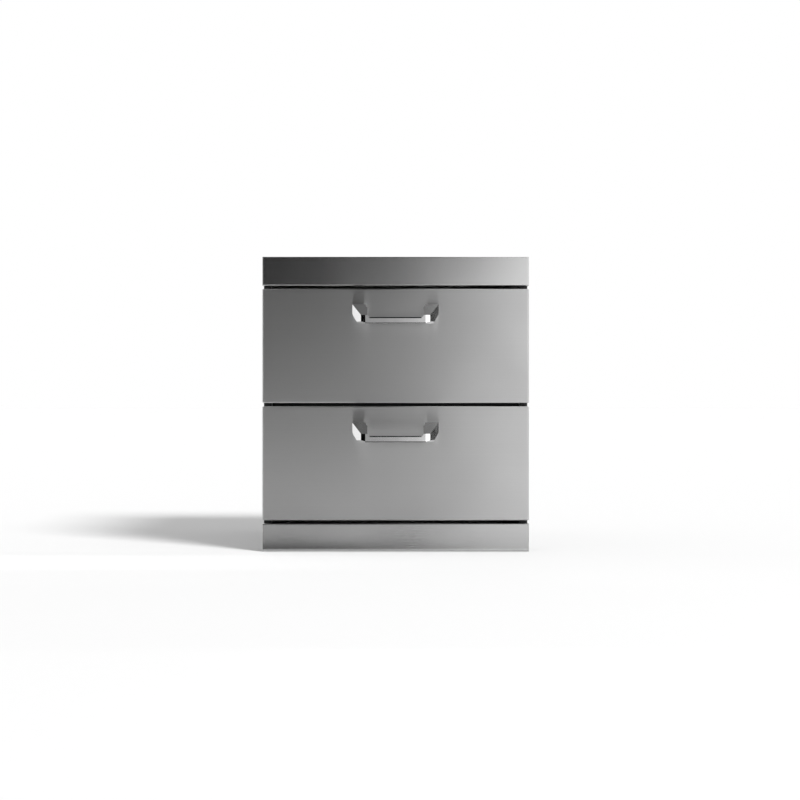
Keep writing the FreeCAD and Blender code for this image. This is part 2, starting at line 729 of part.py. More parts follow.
def outer_section():
    """Cabinet member: web on the cabinet wall, flanges hooked over the outer balls."""
    lip = f"({OUTER_BALL} + {RACE})"
    top = "(slide_height / 2)"
    lip_end = f"({OUTER_ROW} + member_gap)"
    return [
        ("rail_sheet", f"({top} - rail_sheet)"),
        (lip, f"({top} - rail_sheet)", RACE_BEND),
        (lip, lip_end),
        (f"{lip} + rail_sheet", lip_end),
        (f"{lip} + rail_sheet", top, RACE_CROWN),
        ("rail_corner", top),
        ("0", f"({top} - rail_corner)"),
    ]


def middle_section():
    """Middle member: cradles the outer balls from below and hooks over the inner ones."""
    riser = f"({OUTER_BALL} + {RACE})"
    under = f"({OUTER_ROW} - {RACE})"
    over = f"({INNER_ROW} + {RACE})"
    lip = f"({INNER_BALL} + {RACE})"
    lip_end = f"({INNER_ROW} + member_gap)"
    return [
        (f"{MIDDLE_WEB} + rail_sheet", RISER_FOOT),
        (f"{riser} + rail_sheet", RISER_FOOT),
        (f"{riser} + rail_sheet", over),
        (lip, over, RACE_BEND),
        (lip, lip_end),
        (f"{lip} + rail_sheet", lip_end),
        (f"{lip} + rail_sheet", f"({over} + rail_sheet)", RACE_CROWN),
        (riser, f"({over} + rail_sheet)"),
        (riser, under),
        (f"{MIDDLE_WEB} + rail_corner", under),
        (MIDDLE_WEB, f"({under} - rail_corner)"),
    ]


def inner_section():
    """Drawer member: web on the drawer's side, flanges turned up beside the inner balls."""
    flange = f"({INNER_ROW} - {RACE})"
    return [
        ("slide_width - rail_sheet", f"({flange} - rail_sheet)"),
        (INNER_LIP, f"({flange} - rail_sheet)", RACE_CROWN),
        (INNER_LIP, INNER_LIP_END),
        (f"{INNER_LIP} + rail_sheet", INNER_LIP_END),
        (f"{INNER_LIP} + rail_sheet", flange, RACE_BEND),
        ("slide_width - rail_corner", flange),
        ("slide_width", f"({flange} - rail_corner)"),
    ]


def ball():
    """Pattern of a bearing ball, drawn with flats."""
    prisms = []
    along = ("Along", Vector(1, 0, 0), "y", "")
    across = ("Across", Vector(0, 1, 0), "x", "-")
    for name, axis, shift, way in (along, across):
        prism = doc.addObject("Part::Prism", "Ball" + name)
        prism.Polygon = BALL_SIDES
        flat_up = FreeCAD.Rotation(Vector(0, 0, 1), 180 / BALL_SIDES)
        prism.Placement.Rotation = FreeCAD.Rotation(axis, 90) * flat_up
        drive(prism, "Circumradius", f"ball_diameter / 2 / cos({180 / BALL_SIDES})")
        drive(prism, "Height", "ball_diameter")
        drive(prism, "Placement.Base." + shift, f"{way}ball_diameter / 2")
        prisms.append(prism)
    common = doc.addObject("Part::MultiCommon", "Ball")
    common.Shapes = prisms
    return common


def ball_rows(pattern, side, s, row, centre):
    """Balls above and below the slide's centre, spread along the cage."""
    x = f"({side}) * ({ROOM_HALF} - {s})"
    spots = [
        (x, f"{centre} + {step} * ball_pitch", f"{level} * {row}")
        for level in (-1, 1)
        for step in (-1, 0, 1)
    ]
    return copies(pattern, spots)


def outer_cage(pattern, name, side, label, z):
    """Flat cage between the cabinet member's and the middle member's webs, notched for balls."""
    body = new_body(name + "Strip")
    near = f"({side}) * ({ROOM_HALF} - (rail_sheet + {MIDDLE_WEB} - cage_sheet) / 2)"
    reach = f"({OUTER_ROW} + {RACE} - cage_clear)"
    upper = [(f"({OUTER_PLACE} + cage_length / 2)", reach)]
    for step in (1, 0, -1):
        ball_y = f"{OUTER_PLACE} + {step} * ball_pitch"
        upper += [
            (f"({ball_y} + {NOTCH})", reach),
            (f"({ball_y} + {NOTCH})", f"({OUTER_ROW} - {NOTCH})"),
            (f"({ball_y} - {NOTCH})", f"({OUTER_ROW} - {NOTCH})"),
            (f"({ball_y} - {NOTCH})", reach),
        ]
    upper.append((f"({OUTER_PLACE} - cage_length / 2)", reach))
    lower_half = [(y, f"(-{level})") for y, level in upper[::-1]]
    sheet = outline(body, name + "Sheet", "YZ_Plane", upper + lower_half, shift=near)
    grow(body, name + "Flat", sheet, "cage_sheet", backwards=side > 0)
    balls = ball_rows(pattern, side, OUTER_BALL, OUTER_ROW, OUTER_PLACE)
    keep(joined(name, [body] + balls), label, y=SLIDE_Y, z=z)


def inner_cage(pattern, name, side, label, z):
    """Channel cage that passes between the middle member's step and the drawer member's lip."""
    body = new_body(name + "Strip")
    web = f"({MIDDLE_WEB} + rail_sheet + {INNER_LIP} - cage_sheet) / 2"
    tip = f"({INNER_BALL} + {RACE} - cage_clear)"
    level = f"(({RISER_FOOT} + {INNER_LIP_END} + cage_sheet) / 2)"
    path = [(tip, level), (web, level), (web, f"(-{level})"), (tip, f"(-{level})")]
    path = [(f"(({side}) * ({ROOM_HALF} - {s}))", z_level) for s, z_level in path]
    first = f"({INNER_PLACE} - ball_pitch)"
    section = outline(
        body,
        name + "Section",
        "XZ_Plane",
        strip(path, "cage_sheet", folds=[]),
        shift=f"cage_length / 2 - {INNER_PLACE}",
    )
    grow(body, name + "Length", section, "cage_length", backwards=True)
    window = box_corners(
        f"({side}) * ({ROOM_HALF} - {INNER_BALL} + {NOTCH})",
        f"({side}) * ({ROOM_HALF} - {tip})",
        f"{first} - {NOTCH}",
        f"{first} + {NOTCH}",
    )
    notch = outline(body, name + "Notch", "XY_Plane", window, shift=level)
    cut = carve(body, name + "NotchCut", notch, f"2 * {level}", backwards=True)
    repeat(body, name + "Notches", cut, notch, ("V_Axis", 3, "ball_pitch"))
    balls = ball_rows(pattern, side, INNER_BALL, INNER_ROW, INNER_PLACE)
    keep(joined(name, [body] + balls), label, y=SLIDE_Y, z=z)


def slide(pattern, level, drawer_z):
    """Left and right slides of one drawer, each of three members and two ball cages."""
    z = f"{drawer_z} + {SLIDE_Z}"
    rivets = (RIVET_HOLE, ("rivet_setback", "0"), SLIDE_ROW)
    inner_length = f"({TUB_BACK_Y} - {SLIDE_Y})"
    for side, hand in ((-1, "left"), (1, "right")):
        name = (level + hand).title()
        label = f"{level}_{hand}"
        outer = member(
            name + "Outer", outer_section(), "slide_length", f"{label}_cabinet_rail", side, SLIDE_Y, z
        )
        wall = f"({side}) * {ROOM_HALF}"
        row_of_holes(outer, "Holes", "YZ_Plane", *rivets, wall, "rail_sheet", side > 0)
        member(
            name + "Middle",
            middle_section(),
            "slide_length - 2 * middle_setback",
            f"{label}_middle_rail",
            side,
            f"{SLIDE_Y} + middle_setback",
            z,
        )
        inner = member(
            name + "Inner", inner_section(), inner_length, f"{label}_drawer_rail", side, SLIDE_Y, z
        )
        inside = f"({side}) * {TUB_HALF}"
        row_of_holes(inner, "Holes", "YZ_Plane", *rivets, inside, "rail_sheet", side < 0)
        outer_cage(pattern, name + "OuterCage", side, f"{label}_outer_ball_cage", z)
        inner_cage(pattern, name + "InnerCage", side, f"{label}_inner_ball_cage", z)


def handle_screw_holes(body, z, sheet):
    """Holes through a face sheet for the two screws of a handle."""
    row = ("H_Axis", 2, f"2 * {SCREW_X}")
    row_of_holes(body, "Handle", "XZ_Plane", SCREW_HOLE, (f"(-{SCREW_X})", z), row, "0", sheet, True)


def front_screw_holes(body, low, sheet):
    """Holes through a face sheet for the four screws that join front and tub."""
    row = ("H_Axis", 2, "front_screw_spacing")
    for part, z in (("Low", low), ("High", f"{low} + front_screw_rise")):
        first = ("(-front_screw_spacing / 2)", z)
        row_of_holes(body, part, "XZ_Plane", SCREW_HOLE, first, row, "0", sheet, True)


def tub(level, drawer_z):
    """Drawer tub: a wrap of bottom and sides, closed by folded end walls."""
    name = level.title()
    top = "(tub_rise + tub_height)"
    inward = f"({TUB_HALF} - tub_flange)"
    path = [
        (f"(-{inward})", f"({top} - tub_hem)"),
        (f"(-{inward})", top),
        (f"(-{TUB_HALF})", top),
        (f"(-{TUB_HALF})", "tub_rise"),
        (TUB_HALF, "tub_rise"),
        (TUB_HALF, top),
        (inward, top),
        (inward, f"({top} - tub_hem)"),
    ]
    wrap = new_body(name + "TubWrap")
    section = outline(
        wrap,
        name + "TubSection",
        "XZ_Plane",
        strip(path, "tub_sheet", "tub_bend", folds=[3, 4]),
        shift=f"-{LINER_Y}",
    )
    grow(wrap, name + "TubLength", section, "slide_length", backwards=True)
    rivets = (RIVET_HOLE, (f"({SLIDE_Y} + rivet_setback)", SLIDE_Z), SLIDE_ROW)
    for side, hand in ((-1, "Left"), (1, "Right")):
        wall = f"({side}) * {TUB_HALF}"
        row_of_holes(wrap, hand + "Holes", "YZ_Plane", *rivets, wall, "tub_sheet", side > 0)
    keep(wrap, f"{level}_drawer_tub", z=drawer_z)

    width = f"(2 * ({TUB_HALF} - tub_sheet - tub_fit))"
    height = "(tub_height - tub_sheet - tub_hem - tub_sheet)"
    floor = f"{drawer_z} + tub_rise + tub_sheet"
    foot = "(tub_bend - tub_sheet)"
    front = pan(name + "TubFront", width, height, "wall_flange", "tub_sheet", foot=foot)
    front_screw_holes(front, "(front_screw_low - tub_sheet)", "tub_sheet")
    keep(front, f"{level}_drawer_front_wall", y=LINER_Y, z=floor)
    back = pan(name + "TubBack", width, height, "wall_flange", "tub_sheet", foot=foot)
    back.Placement.Rotation = HALF_TURN
    keep(back, f"{level}_drawer_back_wall", y=TUB_BACK_Y, z=floor)


def drawer_front(level, drawer_z):
    """Double-skinned drawer front: folded outer pan and the liner that closes it."""
    name = level.title()
    skin = pan(
        name + "Skin",
        "front_width",
        "drawer_front_height",
        "front_depth",
        "front_sheet",
        "front_bend",
        "front_lip",
        corners=True,
    )
    handle_screw_holes(skin, SCREW_Z, "front_sheet")
    keep(skin, f"{level}_drawer_front", z=drawer_z)

    edge = "(front_sheet + liner_gap)"
    width = f"(front_width - 2 * {edge})"
    height = f"(drawer_front_height - 2 * {edge})"
    liner = pan(name + "Liner", width, height, "liner_depth", "liner_sheet")
    handle_screw_holes(liner, f"({SCREW_Z} - {edge})", "liner_sheet")
    front_screw_holes(liner, f"(tub_rise + front_screw_low - {edge})", "liner_sheet")
    liner.Placement.Rotation = HALF_TURN
    keep(liner, f"{level}_drawer_liner", y=LINER_Y, z=f"{drawer_z} + {edge}")


def sleeve(name, radius, length):
    """Pattern of a six-sided sleeve along Z, bored for a screw."""
    body = stepped(name, [(radius, "0", length)])
    bore = outline(body, name + "Bore", "XY_Plane", hexagon("0", "0", SCREW_HOLE))
    carve(body, name + "BoreCut", bore, length, backwards=False)
    return body


def headed(name, head, head_height, shank, length):
    """Pattern of a screw or rivet along Z: head below the origin, shank above it."""
    return stepped(name, [(f"{head} / 2", f"-{head_height}", head_height), (f"{shank} / 2", "0", length)])


class Fixings:
    """Patterns of the small fasteners, and the groups that are copied from them."""

    def __init__(self):
        gap = f"({LINER_Y} - liner_sheet - front_sheet)"
        self.spacer = sleeve("Spacer", "spacer_diameter / 2", gap)
        self.nut = sleeve("Nut", "nut_diameter / 2", "nut_height")
        self.handle_screw = headed(
            "HandleScrew", "screw_head", "screw_head_height", "screw_diameter", f"({LINER_Y} + screw_grip)"
        )
        self.front_screw = headed(
            "FrontScrew",
            "screw_head",
            "screw_head_height",
            "screw_diameter",
            "(tub_sheet + liner_sheet + nut_height)",
        )
        rivet = ("rivet_head", "rivet_head_height", "rivet_diameter")
        self.slide_rivet = headed("SlideRivet", *rivet, "(rail_sheet + cabinet_sheet)")
        self.slide_screw = headed("SlideScrew", *rivet, "(tub_sheet + rail_sheet)")
        self.back_rivet = headed("BackRivet", *rivet, "cabinet_sheet")

    def on_front(self, level, drawer_z):
        """Spacers, screws and nuts of one drawer front."""
        name = level.title()
        posts = [(f"({side}) * {SCREW_X}", SCREW_Z) for side in (-1, 1)]
        spots = [(x, f"{LINER_Y} - liner_sheet", z) for x, z in posts]
        spacers = joined(name + "Spacers", copies(self.spacer, spots, TO_FRONT))
        keep(spacers, f"{level}_handle_spacers", z=drawer_z)

        spots = [(x, LINER_Y, z) for x, z in posts]
        screws = joined(name + "HandleScrews", copies(self.handle_screw, spots, TO_FRONT))
        keep(screws, f"{level}_handle_screws", z=drawer_z)

        corners = [
            (f"({side}) * front_screw_spacing / 2", f"tub_rise + front_screw_low + {row} * front_screw_rise")
            for side in (-1, 1)
            for row in (0, 1)
        ]
        bolts = copies(self.front_screw, [(x, f"{LINER_Y} + tub_sheet", z) for x, z in corners], TO_FRONT)
        nuts = copies(self.nut, [(x, f"{LINER_Y} - liner_sheet", z) for x, z in corners], TO_FRONT)
        keep(joined(name + "FrontFixings", bolts + nuts), f"{level}_front_screws_and_nuts", z=drawer_z)

    def on_slides(self, level, drawer_z):
        """Screws from inside the tub into the drawer members."""
        group = []
        for side, turn in ((-1, TO_LEFT), (1, TO_RIGHT)):
            x = f"({side}) * ({TUB_HALF} - tub_sheet)"
            group += copies(self.slide_screw, [(x, y, SLIDE_Z) for y in slide_rivet_rows()], turn)
        keep(joined(level.title() + "SlideScrews", group), f"{level}_drawer_slide_screws", z=drawer_z)

    def on_cabinet(self):
        """Rivets that hold the slides to the side panels and the back panel on."""
        group = []
        for side, turn in ((-1, TO_RIGHT), (1, TO_LEFT)):
            for drawer_z in (LOWER_Z, UPPER_Z):
                x = f"({side}) * {CABINET_HALF}"
                z = f"{drawer_z} + {SLIDE_Z}"
                group += copies(self.slide_rivet, [(x, y, z) for y in slide_rivet_rows()], turn)
        keep(joined("SlideRivets", group), "cabinet_slide_rivets")
        flange = f"({CABINET_HALF} - cabinet_flange / 2)"
        spots = [
            (f"({side}) * {flange}", BACK_Y, f"back_rivet_low + {i} * {BACK_PITCH}")
            for side in (-1, 1)
            for i in range(3)
        ]
        keep(joined("BackRivets", copies(self.back_rivet, spots, TO_FRONT)), "back_panel_rivets")


def slide_rivet_rows():
    """How far back the three fixings of a slide lie."""
    return [f"{SLIDE_Y} + rivet_setback + {i} * {RIVET_PITCH}" for i in range(3)]


def handle(level, drawer_z):
    """Cast bracket handle: two posts, legs that run down and inwards, and a faceted bar."""
    name = level.title() + "Handle"
    body = new_body(name)
    half = "(handle_span / 2)"
    reach = "(-handle_reach)"
    bar_back = "(bar_depth - handle_reach)"
    knee = "(-post_length)"
    inner_knee = "(bar_depth / 2 - post_length)"
    tip = f"({half} - leg_draw)"
    plan = [
        (half, "0"),
        (half, knee),
        (tip, f"({reach} + corner_depth)"),
        (f"({tip} - corner_width)", reach),
        (f"(corner_width - {tip})", reach),
        (f"(-{tip})", f"({reach} + corner_depth)"),
        (f"(-{half})", knee),
        (f"(-{half})", "0"),
        (f"(post_width - {half})", "0"),
        (f"(post_width - {half})", inner_knee),
        (f"(leg_thickness - {tip})", bar_back, "leg_fillet"),
        (f"({tip} - leg_thickness)", bar_back, "leg_fillet"),
        (f"({half} - post_width)", inner_knee),
        (f"({half} - post_width)", "0"),
    ]
    sketch = outline(body, name + "Plan", "XY_Plane", plan, shift="-handle_drop")
    grow(body, name + "Blank", sketch, "handle_drop")
    shoulder = "(bar_height + bar_shoulder - handle_drop)"
    beyond = f"({reach} - {WASTE})"
    under = f"(-handle_drop - {WASTE})"
    above = [
        (knee, "0"),
        (f"({reach} + corner_depth)", shoulder),
        (beyond, shoulder),
        (beyond, WASTE),
        (knee, WASTE),
    ]
    below = [
        (inner_knee, "-post_height"),
        (bar_back, "-handle_drop"),
        (bar_back, under),
        (WASTE, under),
        (WASTE, "-post_height"),
    ]
    edge = [
        (reach, "bar_edge_facet - handle_drop"),
        (f"{reach} + bar_edge_facet", "-handle_drop"),
        (f"{reach} + bar_edge_facet", under),
        (beyond, under),
        (beyond, "bar_edge_facet - handle_drop"),
    ]
    for part, corners in (("Above", above), ("Below", below), ("Edge", edge)):
        waste = outline(body, name + part, "YZ_Plane", corners, shift=f"-{half} - {WASTE}")
        last = carve(body, name + part + "Cut", waste, f"handle_span + 2 * {WASTE}")
    tip_x = number(tip)
    foot = -number("post_height")

    def is_outer_foot(box):
        outside = max(box.XMin, -box.XMax) > tip_x - TOUCH
        return outside and box.ZMax < foot + TOUCH and box.YLength > TOUCH

    cut_edges(body, name + "Foot", last, edge_names(last.Shape, is_outer_foot), "leg_facet")
    dip_half = f"({tip} - leg_thickness)"
    dip = [
        (f"(-{dip_half})", "bar_height - handle_drop", "dip_fillet"),
        (dip_half, "bar_height - handle_drop", "dip_fillet"),
        (dip_half, WASTE),
        (f"(-{dip_half})", WASTE),
    ]
    scoop = outline(body, name + "Dip", "XZ_Plane", dip, shift=f"handle_reach + {WASTE}")
    carve(body, name + "DipCut", scoop, f"handle_reach + {WASTE}", backwards=True)
    bar_top = "(bar_height - handle_drop)"
    brow = [
        (reach, f"{bar_top} - bar_edge_facet"),
        (f"{reach} + bar_edge_facet", bar_top),
        (f"{reach} + bar_edge_facet", WASTE),
        (beyond, WASTE),
        (beyond, f"{bar_top} - bar_edge_facet"),
    ]
    brow_half = f"({dip_half} - dip_fillet)"
    waste = outline(body, name + "Brow", "YZ_Plane", brow, shift=f"-{brow_half}")
    carve(body, name + "BrowCut", waste, f"2 * {brow_half}")
    first = (f"(-{SCREW_X})", "-post_height / 2")
    row = ("H_Axis", 2, f"2 * {SCREW_X}")
    row_of_holes(body, "Threads", "XZ_Plane", SCREW_HOLE, first, row, "0", "screw_grip + thread_runout")
    keep(body, f"{level}_handle", z=f"{drawer_z} + {POST_Z}")


def build():
    """Draws every piece of the unit."""
    stile(-1, "left_stile")
    stile(1, "right_stile")
    top_rail()
    bottom_rail()
    mid_rail()
    side_panel(-1, "left_side_panel")
    side_panel(1, "right_side_panel")
    floor_and_top()
    back_panel()
    strips()
    fixings = Fixings()
    fixings.on_cabinet()
    rubber = bumper()
    bearing = ball()
    for level, drawer_z in (("lower", LOWER_Z), ("upper", UPPER_Z)):
        bumpers(rubber, f"{level}_bumpers", drawer_z)
        slide(bearing, level, drawer_z)
        tub(level, drawer_z)
        drawer_front(level, drawer_z)
        fixings.on_front(level, drawer_z)
        fixings.on_slides(level, drawer_z)
        handle(level, drawer_z)
    doc.recompute()


def check_document():
    """Every feature must be sound before anything is written."""
    for item in doc.Objects:
        if "Invalid" in item.State or "Error" in item.State:
            raise ValueError(f"{item.Name} is {item.State}")
    for piece in pieces:
        if piece.Shape.isNull() or not piece.Shape.isValid() or not piece.Shape.Solids:
            raise ValueError(f"{piece.Label} has no sound shape")


def write_parts():
    """Writes each piece as a file named after its label."""
    os.makedirs("parts", exist_ok=True)
    for piece in pieces:
        piece.Shape.exportStep(os.path.join("parts", piece.Label + ".step"))


build()
check_document()
write_parts()
print(len(pieces), "pieces written")
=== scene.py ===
import logging
import math
from dataclasses import dataclass
from enum import Enum
from typing import Iterable, Sequence

import bmesh
import bpy
from mathutils import Matrix, Vector


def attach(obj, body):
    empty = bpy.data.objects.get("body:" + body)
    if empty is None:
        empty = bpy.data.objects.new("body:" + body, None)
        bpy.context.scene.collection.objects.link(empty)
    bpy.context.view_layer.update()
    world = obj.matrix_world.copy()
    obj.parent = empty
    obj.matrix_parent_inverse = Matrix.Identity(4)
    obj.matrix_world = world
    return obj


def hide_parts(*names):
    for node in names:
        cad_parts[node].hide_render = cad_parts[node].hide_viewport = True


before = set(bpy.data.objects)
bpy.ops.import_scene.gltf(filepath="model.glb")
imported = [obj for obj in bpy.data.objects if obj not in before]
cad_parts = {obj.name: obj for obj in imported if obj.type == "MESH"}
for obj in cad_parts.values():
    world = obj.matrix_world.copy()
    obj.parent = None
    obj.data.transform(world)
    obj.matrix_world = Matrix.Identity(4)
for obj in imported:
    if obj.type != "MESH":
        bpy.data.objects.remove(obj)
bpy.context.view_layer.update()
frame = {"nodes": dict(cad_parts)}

# Sizes that several pieces share, in metres. They are those of the solids.
MM = 0.001
FACE_Y = -0.2532
LINER_Y = FACE_Y + 20.8 * MM
BACK_Y = FACE_Y + 545 * MM
SLIDE_Y = FACE_Y + 31 * MM
ROOM_HALF = 225.8 * MM
CABINET_HALF = 226.8 * MM
TUB_HALF = 213.1 * MM
SLIDE_RISE = 73 * MM
RIVET_START = 30 * MM
RIVET_PITCH = 215 * MM
RIVET_ROWS = tuple(SLIDE_Y + RIVET_START + RIVET_PITCH * i for i in range(3))

# Fineness of round pieces and balls, sides of a hexagonal one, and the angle in degrees
# from which an edge stays sharp.
ROUND_STEPS = 36
BALL_STEPS = 3
HEXAGON = 6
SHARP_FROM = 35.0

Triple = tuple[float, float, float]
Stops = tuple[tuple[float, float], ...]

# The stretch of a grain that runs across, and no stretch or tint.
ACROSS: Triple = (0.35, 9.0, 260.0)
PLAIN: Triple = (1.0, 1.0, 1.0)

log = logging.getLogger("drawer_unit")


class Hand(Enum):
    """A side of the unit, with its sign along X."""

    LEFT = -1
    RIGHT = 1

    @property
    def label(self) -> str:
        """The side's word in the names of pieces."""
        return self.name.lower()


class Level(Enum):
    """A drawer, with the height of its bottom."""

    LOWER = 56.4 * MM
    UPPER = 268.9 * MM

    @property
    def label(self) -> str:
        """The drawer's word in the names of pieces."""
        return self.name.lower()


class CageKind(Enum):
    """A slide's ball cage: outside or inside its middle member."""

    OUTER = "outer"
    INNER = "inner"


@dataclass(frozen=True)
class Noise:
    """A noise: its scale, octaves, the weight of the finer ones and its stretch."""

    scale: float
    detail: float = 2.0
    rough: float = 0.5
    stretch: Triple = PLAIN


class Value:
    """A number socket that takes part in ordinary arithmetic."""

    def __init__(self, nodes: "Nodes", socket: bpy.types.NodeSocket) -> None:
        """Keeps the socket and the tree that it belongs to."""
        self.nodes = nodes
        self.socket = socket

    def _math(self, operation: str, other: object) -> "Value":
        """Adds one Math node.

        Args:
            operation: The node's operation.
            other: The second value or number.

        Returns:
            The node's result.
        """
        return self.nodes.add("ShaderNodeMath", {"operation": operation}, {0: self, 1: other})

    def __add__(self, other: object) -> "Value":
        """self + other."""
        return self._math("ADD", other)

    def __mul__(self, other: object) -> "Value":
        """self * other."""
        return self._math("MULTIPLY", other)

    def most(self, other: object) -> "Value":
        """The larger of self and other."""
        return self._math("MAXIMUM", other)


class Nodes:
    """A node tree that is filled by one method."""

    def __init__(self, tree: bpy.types.NodeTree) -> None:
        """Empties the tree."""
        self.tree = tree
        tree.nodes.clear()

    def add(
        self,
        kind: str,
        settings: dict[str, object] | None = None,
        inputs: dict[object, object] | None = None,
        output: object = 0,
    ) -> "Value | None":
        """Adds a node, sets it and joins its sockets.

        Args:
            kind: The node's type.
            settings: Attributes of the node; "stops" fills a colour ramp.
            inputs: Socket name or number to a number, a colour or a Value.
            output: Name or number of the socket that is returned.

        Returns:
            The chosen output.
        """
        node = self.tree.nodes.new(kind)
        for name, setting in (settings or {}).items():
            if name == "stops":
                ramp = node.color_ramp
                while len(ramp.elements) < len(setting):
                    ramp.elements.new(0.5)
                for element, (place, shade) in zip(ramp.elements, setting):
                    element.position = place
                    element.color = (shade, shade, shade, 1)
            else:
                setattr(node, name, setting)
        for name, given in (inputs or {}).items():
            if isinstance(given, Value):
                self.tree.links.new(given.socket, node.inputs[name])
            else:
                node.inputs[name].default_value = given
        return Value(self, node.outputs[output]) if node.outputs else None

    def place(self) -> Value:
        """Object coordinates."""
        return self.add("ShaderNodeTexCoord", output="Object")

    def vector(self, operation: str, first: object, second: object) -> Value:
        """A Vector Math node on two vectors."""
        return self.add("ShaderNodeVectorMath", {"operation": operation}, {0: first, 1: second})

    def dot(self, first: object, second: object) -> Value:
        """The dot product of two vectors."""
        settings = {"operation": "DOT_PRODUCT"}
        return self.add("ShaderNodeVectorMath", settings, {0: first, 1: second}, output="Value")

    def noise(self, noise: Noise) -> Value:
        """A noise between 0 and 1, over the object's coordinates.

        Args:
            noise: What the noise is like.

        Returns:
            The noise factor.
        """
        where = self.add(
            "ShaderNodeMapping", inputs={"Vector": self.place(), "Scale": noise.stretch}
        )
        return self.add(
            "ShaderNodeTexNoise",
            inputs={
                "Vector": where,
                "Scale": noise.scale,
                "Detail": noise.detail,
                "Roughness": noise.rough,
            },
        )

    def ramp(self, value: Value, stops: Stops) -> Value:
        """A value sent through a ramp of (place, shade)."""
        return self.add("ShaderNodeValToRGB", {"stops": stops}, {0: value})

    def mix(self, share: object, first: object, second: object) -> Value:
        """Two colours mixed.

        Args:
            share: How much of the second.
            first: First colour.
            second: Second colour.

        Returns:
            The mixed colour.
        """
        return self.add(
            "ShaderNodeMix", {"data_type": "RGBA"}, {0: share, 6: first, 7: second}, output=2
        )

    def bump(self, height: Value, distance: float, strength: float) -> Value:
        """A normal from a height.

        Args:
            height: Height between 0 and 1.
            distance: Depth in metres.
            strength: Share of the effect.

        Returns:
            The bumped normal.
        """
        return self.add(
            "ShaderNodeBump", inputs={"Height": height, "Distance": distance, "Strength": strength}
        )


def start_material(name: str) -> tuple[bpy.types.Material, Nodes]:
    """An empty material and its tree."""
    material = bpy.data.materials.new(name)
    material.use_nodes = True
    return material, Nodes(material.node_tree)


def tint(shade: float, parts: Triple) -> tuple[float, ...]:
    """A grey whose red, green and blue are these parts of its shade."""
    return tuple(shade * part for part in parts) + (1,)


@dataclass(frozen=True)
class Finish:
    """A material, by what each socket of its shader gets."""

    name: str

    def sockets(self, nodes: Nodes) -> dict[str, object]:
        """What the sockets get: a constant, or a value that varies over the piece.

        Args:
            nodes: The material's tree.

        Returns:
            Socket names and what goes there.
        """
        raise NotImplementedError

    def build(self) -> bpy.types.Material:
        """Makes the material.

        Returns:
            The new material.
        """
        material, nodes = start_material(self.name)
        shader = nodes.add("ShaderNodeBsdfPrincipled", {"name": self.name}, self.sockets(nodes))
        nodes.add("ShaderNodeOutputMaterial", inputs={"Surface": shader})
        return material


@dataclass(frozen=True)
class BrushedSteel(Finish):
    """Stainless sheet with a grain that runs across."""

    shade: float = 0.74
    light: Triple = (1.02, 1.02, 1.015)
    dark: Triple = (0.9, 0.9, 0.905)
    roughness: float = 0.38
    anisotropic: float = 1.0
    rotation: float = 0.25
    fine_share: float = 0.65
    fine_spread: float = 0.12
    smudge: float = 0.05
    smudge_edge: Stops = ((0.35, 0.0), (0.75, 1.0))
    depth: float = 0.00002
    strength: float = 0.5
    fine: Noise = Noise(9.0, 4.0, 0.7, ACROSS)
    long: Noise = Noise(2.2, stretch=ACROSS)
    patches: Noise = Noise(7.0, 3.0, 0.55)

    def sockets(self, nodes: Nodes) -> dict[str, object]:
        """Grain in colour, roughness and normal, and faint smudges.

        Args:
            nodes: The material's tree.

        Returns:
            Socket names and what goes there.
        """
        fine = nodes.noise(self.fine)
        grain = fine * self.fine_share + nodes.noise(self.long) * (1 - self.fine_share)
        smudges = nodes.ramp(nodes.noise(self.patches), self.smudge_edge) * self.smudge
        light, dark = tint(self.shade, self.light), tint(self.shade, self.dark)
        smooth = self.roughness - self.fine_spread / 2
        return {
            "Metallic": 1.0,
            "Anisotropic": self.anisotropic,
            "Anisotropic Rotation": self.rotation,
            "Base Color": nodes.mix(grain, dark, light),
            "Roughness": smudges + fine * self.fine_spread + smooth,
            "Normal": nodes.bump(grain, self.depth, self.strength),
        }


@dataclass(frozen=True)
class MillSteel(Finish):
    """Dull rolled stainless sheet of hidden panels."""

    shade: float
    roughness: float
    light: Triple = (1.03, 1.03, 1.02)
    dark: Triple = (0.86, 0.865, 0.88)
    cloud_share: float = 0.6
    cloud_spread: float = 0.12
    pore_share: float = 0.5
    pore_spread: float = 0.06
    depth: float = 0.00002
    strength: float = 0.4
    clouds: Noise = Noise(14.0, 4.0, 0.6)
    pores: Noise = Noise(900.0)
    rolled: Noise = Noise(3.0, 3.0, 0.6, (1.2, 40.0, 40.0))

    def sockets(self, nodes: Nodes) -> dict[str, object]:
        """Clouds and rolling lines in colour, pores in roughness and normal.

        Args:
            nodes: The material's tree.

        Returns:
            Socket names and what goes there.
        """
        clouds, pores, rolled = map(nodes.noise, (self.clouds, self.pores, self.rolled))
        marks = clouds * self.cloud_share + rolled * (1 - self.cloud_share)
        light, dark = tint(self.shade, self.light), tint(self.shade, self.dark)
        rough = clouds * self.cloud_spread + pores * self.pore_spread
        height = pores * self.pore_share + rolled * (1 - self.pore_share)
        return {
            "Metallic": 1.0,
            "Base Color": nodes.mix(marks, dark, light),
            "Roughness": rough + (self.roughness - self.cloud_spread / 2),
            "Normal": nodes.bump(height, self.depth, self.strength),
        }


